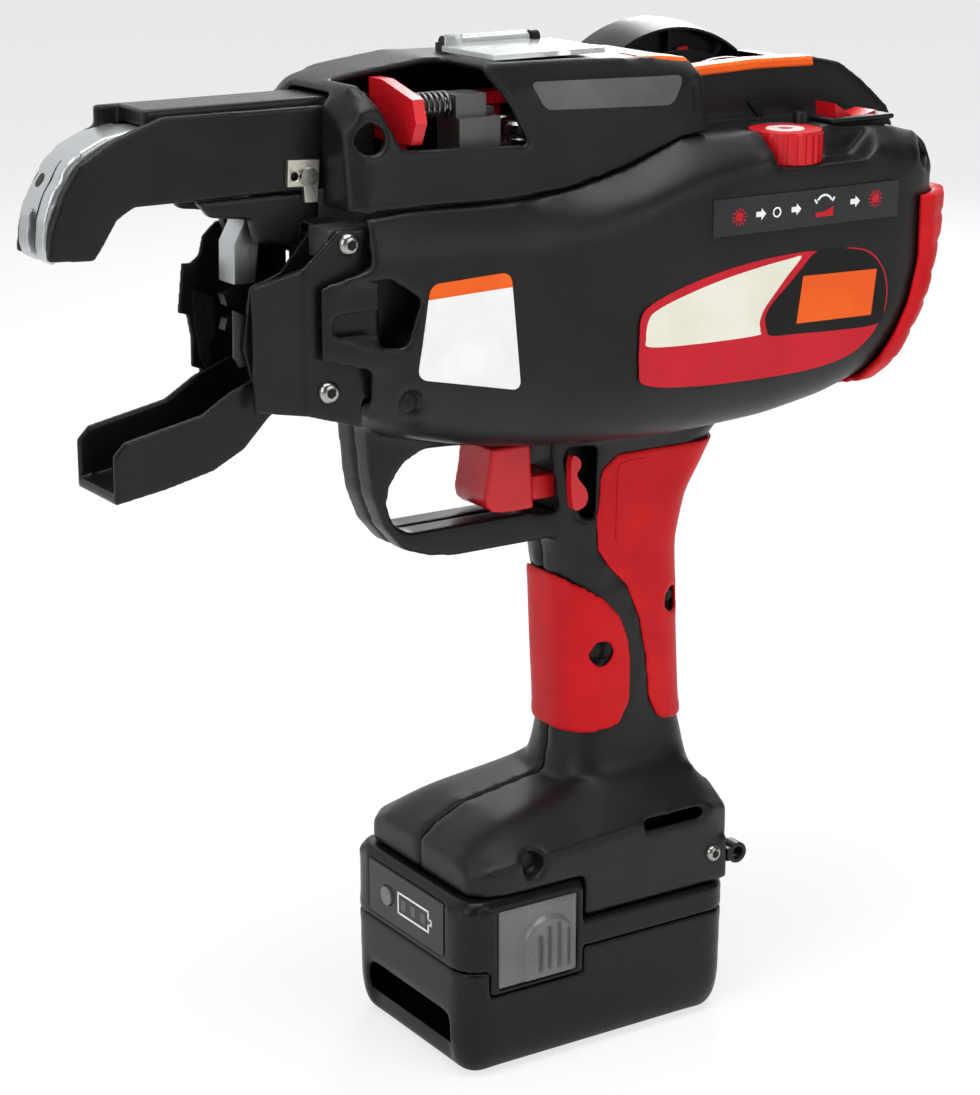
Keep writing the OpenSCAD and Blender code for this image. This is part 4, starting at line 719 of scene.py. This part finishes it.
# Battery cases. Two moulded shells in a smoother black than the tool, the lower one rounded
# towards the bench; the pack slides on the foot's rails.
pack_black = moulded("pack_black", (0.0035, 0.0035, 0.0038), (0.0045, 0.0045, 0.005), rough=0.3, grain=1200.0,
                     depth=0.02, gloss=0.22)
pack_skin = {"voxel": 0.0009, "rounds": 3, "flat_rounds": 40, "body": "battery"}
rim_top = 0.024
pack_base = moulded_skin("pack_lower_case", "battery_base", pack_black, "pack_black", **pack_skin)
eased(pack_base, rounds=24, chosen=lambda spot: spot.z < rim_top)
moulded_skin("pack_upper_case", "battery_top", pack_black, "pack_black", **pack_skin)

# Battery keys. Grey plastic keys on both sides that release the pack, each moulded with a
# raised arch and four upright ribs for the finger.
key_grey = moulded("key_grey", (0.1, 0.103, 0.106), (0.13, 0.133, 0.137), rough=0.3, grain=1200.0, depth=0.06)
dress("battery_latch_left", key_grey, edge=0.0005)
dress("battery_latch_right", key_grey, edge=0.0005)


def rise_over(distance, reach):
    share = min(1.0, max(0.0, 0.5 + distance / (2 * reach)))
    return share * share * (3 - 2 * share)


def ridge(distance, half):
    return math.exp(-(distance / half) ** 2)


def pack_key(name, side, body):
    left, bottom, wide, high, face_y, back_y = -41.6, 31.9, 30.2, 26.7, 38.2, 37.8
    arch_x, arch_z, arch_r, arch_rise = left + 0.61 * wide, bottom + 0.44 * high, 11.0, 2.0
    plate_rise, rib_rise, rib_half, soft = 0.3, 1.0, 0.7, 0.8
    rib_foot, groove_step, groove_fall, groove_half = bottom + 0.12 * high, 0.063 * wide, 1.2, 0.5
    rim_start, rim_soft = 0.5, 0.6
    bm = bmesh.new()
    bmesh.ops.create_grid(bm, x_segments=88, y_segments=78, size=0.5)
    for vert in bm.verts:
        x, z = left + (vert.co.x + 0.5) * wide, bottom + (vert.co.y + 0.5) * high
        inside = arch_r - (math.hypot(x - arch_x, z - arch_z) if z > arch_z else abs(x - arch_x))
        raised = plate_rise + arch_rise * rise_over(inside - soft, soft)
        for across, top in ((0.42, 0.6), (0.54, 0.7), (0.67, 0.72), (0.8, 0.64)):
            off_rib = x - left - across * wide
            ends = rise_over(min(z - rib_foot, bottom + top * high - z), soft)
            raised += rib_rise * ridge(off_rib, rib_half) * ends
            raised -= groove_fall * ridge(off_rib - groove_step, groove_half) * ends
        rim = min(x - left, left + wide - x, z - bottom, bottom + high - z)
        raised *= rise_over(rim - rim_start, rim_soft)
        vert.co = metres(x, side * (face_y + raised), z)
    for back in second_face(bm):
        back.co.y = side * back_y / 1000
    bmesh.ops.recalc_face_normals(bm, faces=bm.faces)
    fitted(mesh_from(bm, name), body, "key_grey", key_grey)


pack_key("left_key_face", -1, "latch_left")
pack_key("right_key_face", 1, "latch_right")

# Battery gauge. A dark panel let into the front of the pack, with a grey push button, a printed
# battery outline and three small printed fields for the lamps.
dress("gauge_panel", panel_grey, edge=0.0002)
dress("gauge_button", key_grey, edge=0.0003)
to_front, gauge_face, gauge_z = -math.pi / 2, -55.1, 50.3
gauge_bars = [bar(5, 54, 19.4, 0.7), bar(5, 46.6, 19.4, 0.7), bar(-4.7, gauge_z, 0.7, 8.1),
              bar(14.7, 52.6, 0.7, 3.5), bar(14.7, 48.0, 0.7, 3.5), bar(15.6, 51.2, 2.4, 0.7),
              bar(15.6, 49.4, 2.4, 0.7), bar(16.6, gauge_z, 0.7, 2.4)]
lamp_bars = [bar(across, gauge_z, 3.0, 3.6) for across in (-1.2, 5, 11.2)]
marks("gauge_outline", gauge_bars, gauge_face, film_white, "battery", turn=to_front, thick=0.2)
marks("gauge_lamps", lamp_bars, gauge_face, film_grey, "battery", turn=to_front, thick=0.2)

# Inside works. Two motors in steel cans, a coated circuit board, a moulded terminal block in
# the foot and eight wrapped cells in the battery.
can_steel = bare_metal("motor_can", (0.2, 0.2, 0.2), (0.3, 0.3, 0.3), rough=0.35)
board_green = moulded("board_green", (0.02, 0.09, 0.045), (0.03, 0.13, 0.06), rough=0.4)
cell_wrap = moulded("cell_wrap", (0.012, 0.013, 0.014), (0.018, 0.02, 0.021), rough=0.4, gloss=0.3)
dress("twist_motor", can_steel)
dress("feed_motor", can_steel)
dress("control_board", board_green)
dress("terminal_block", body_black)
dress("battery_cells", cell_wrap)
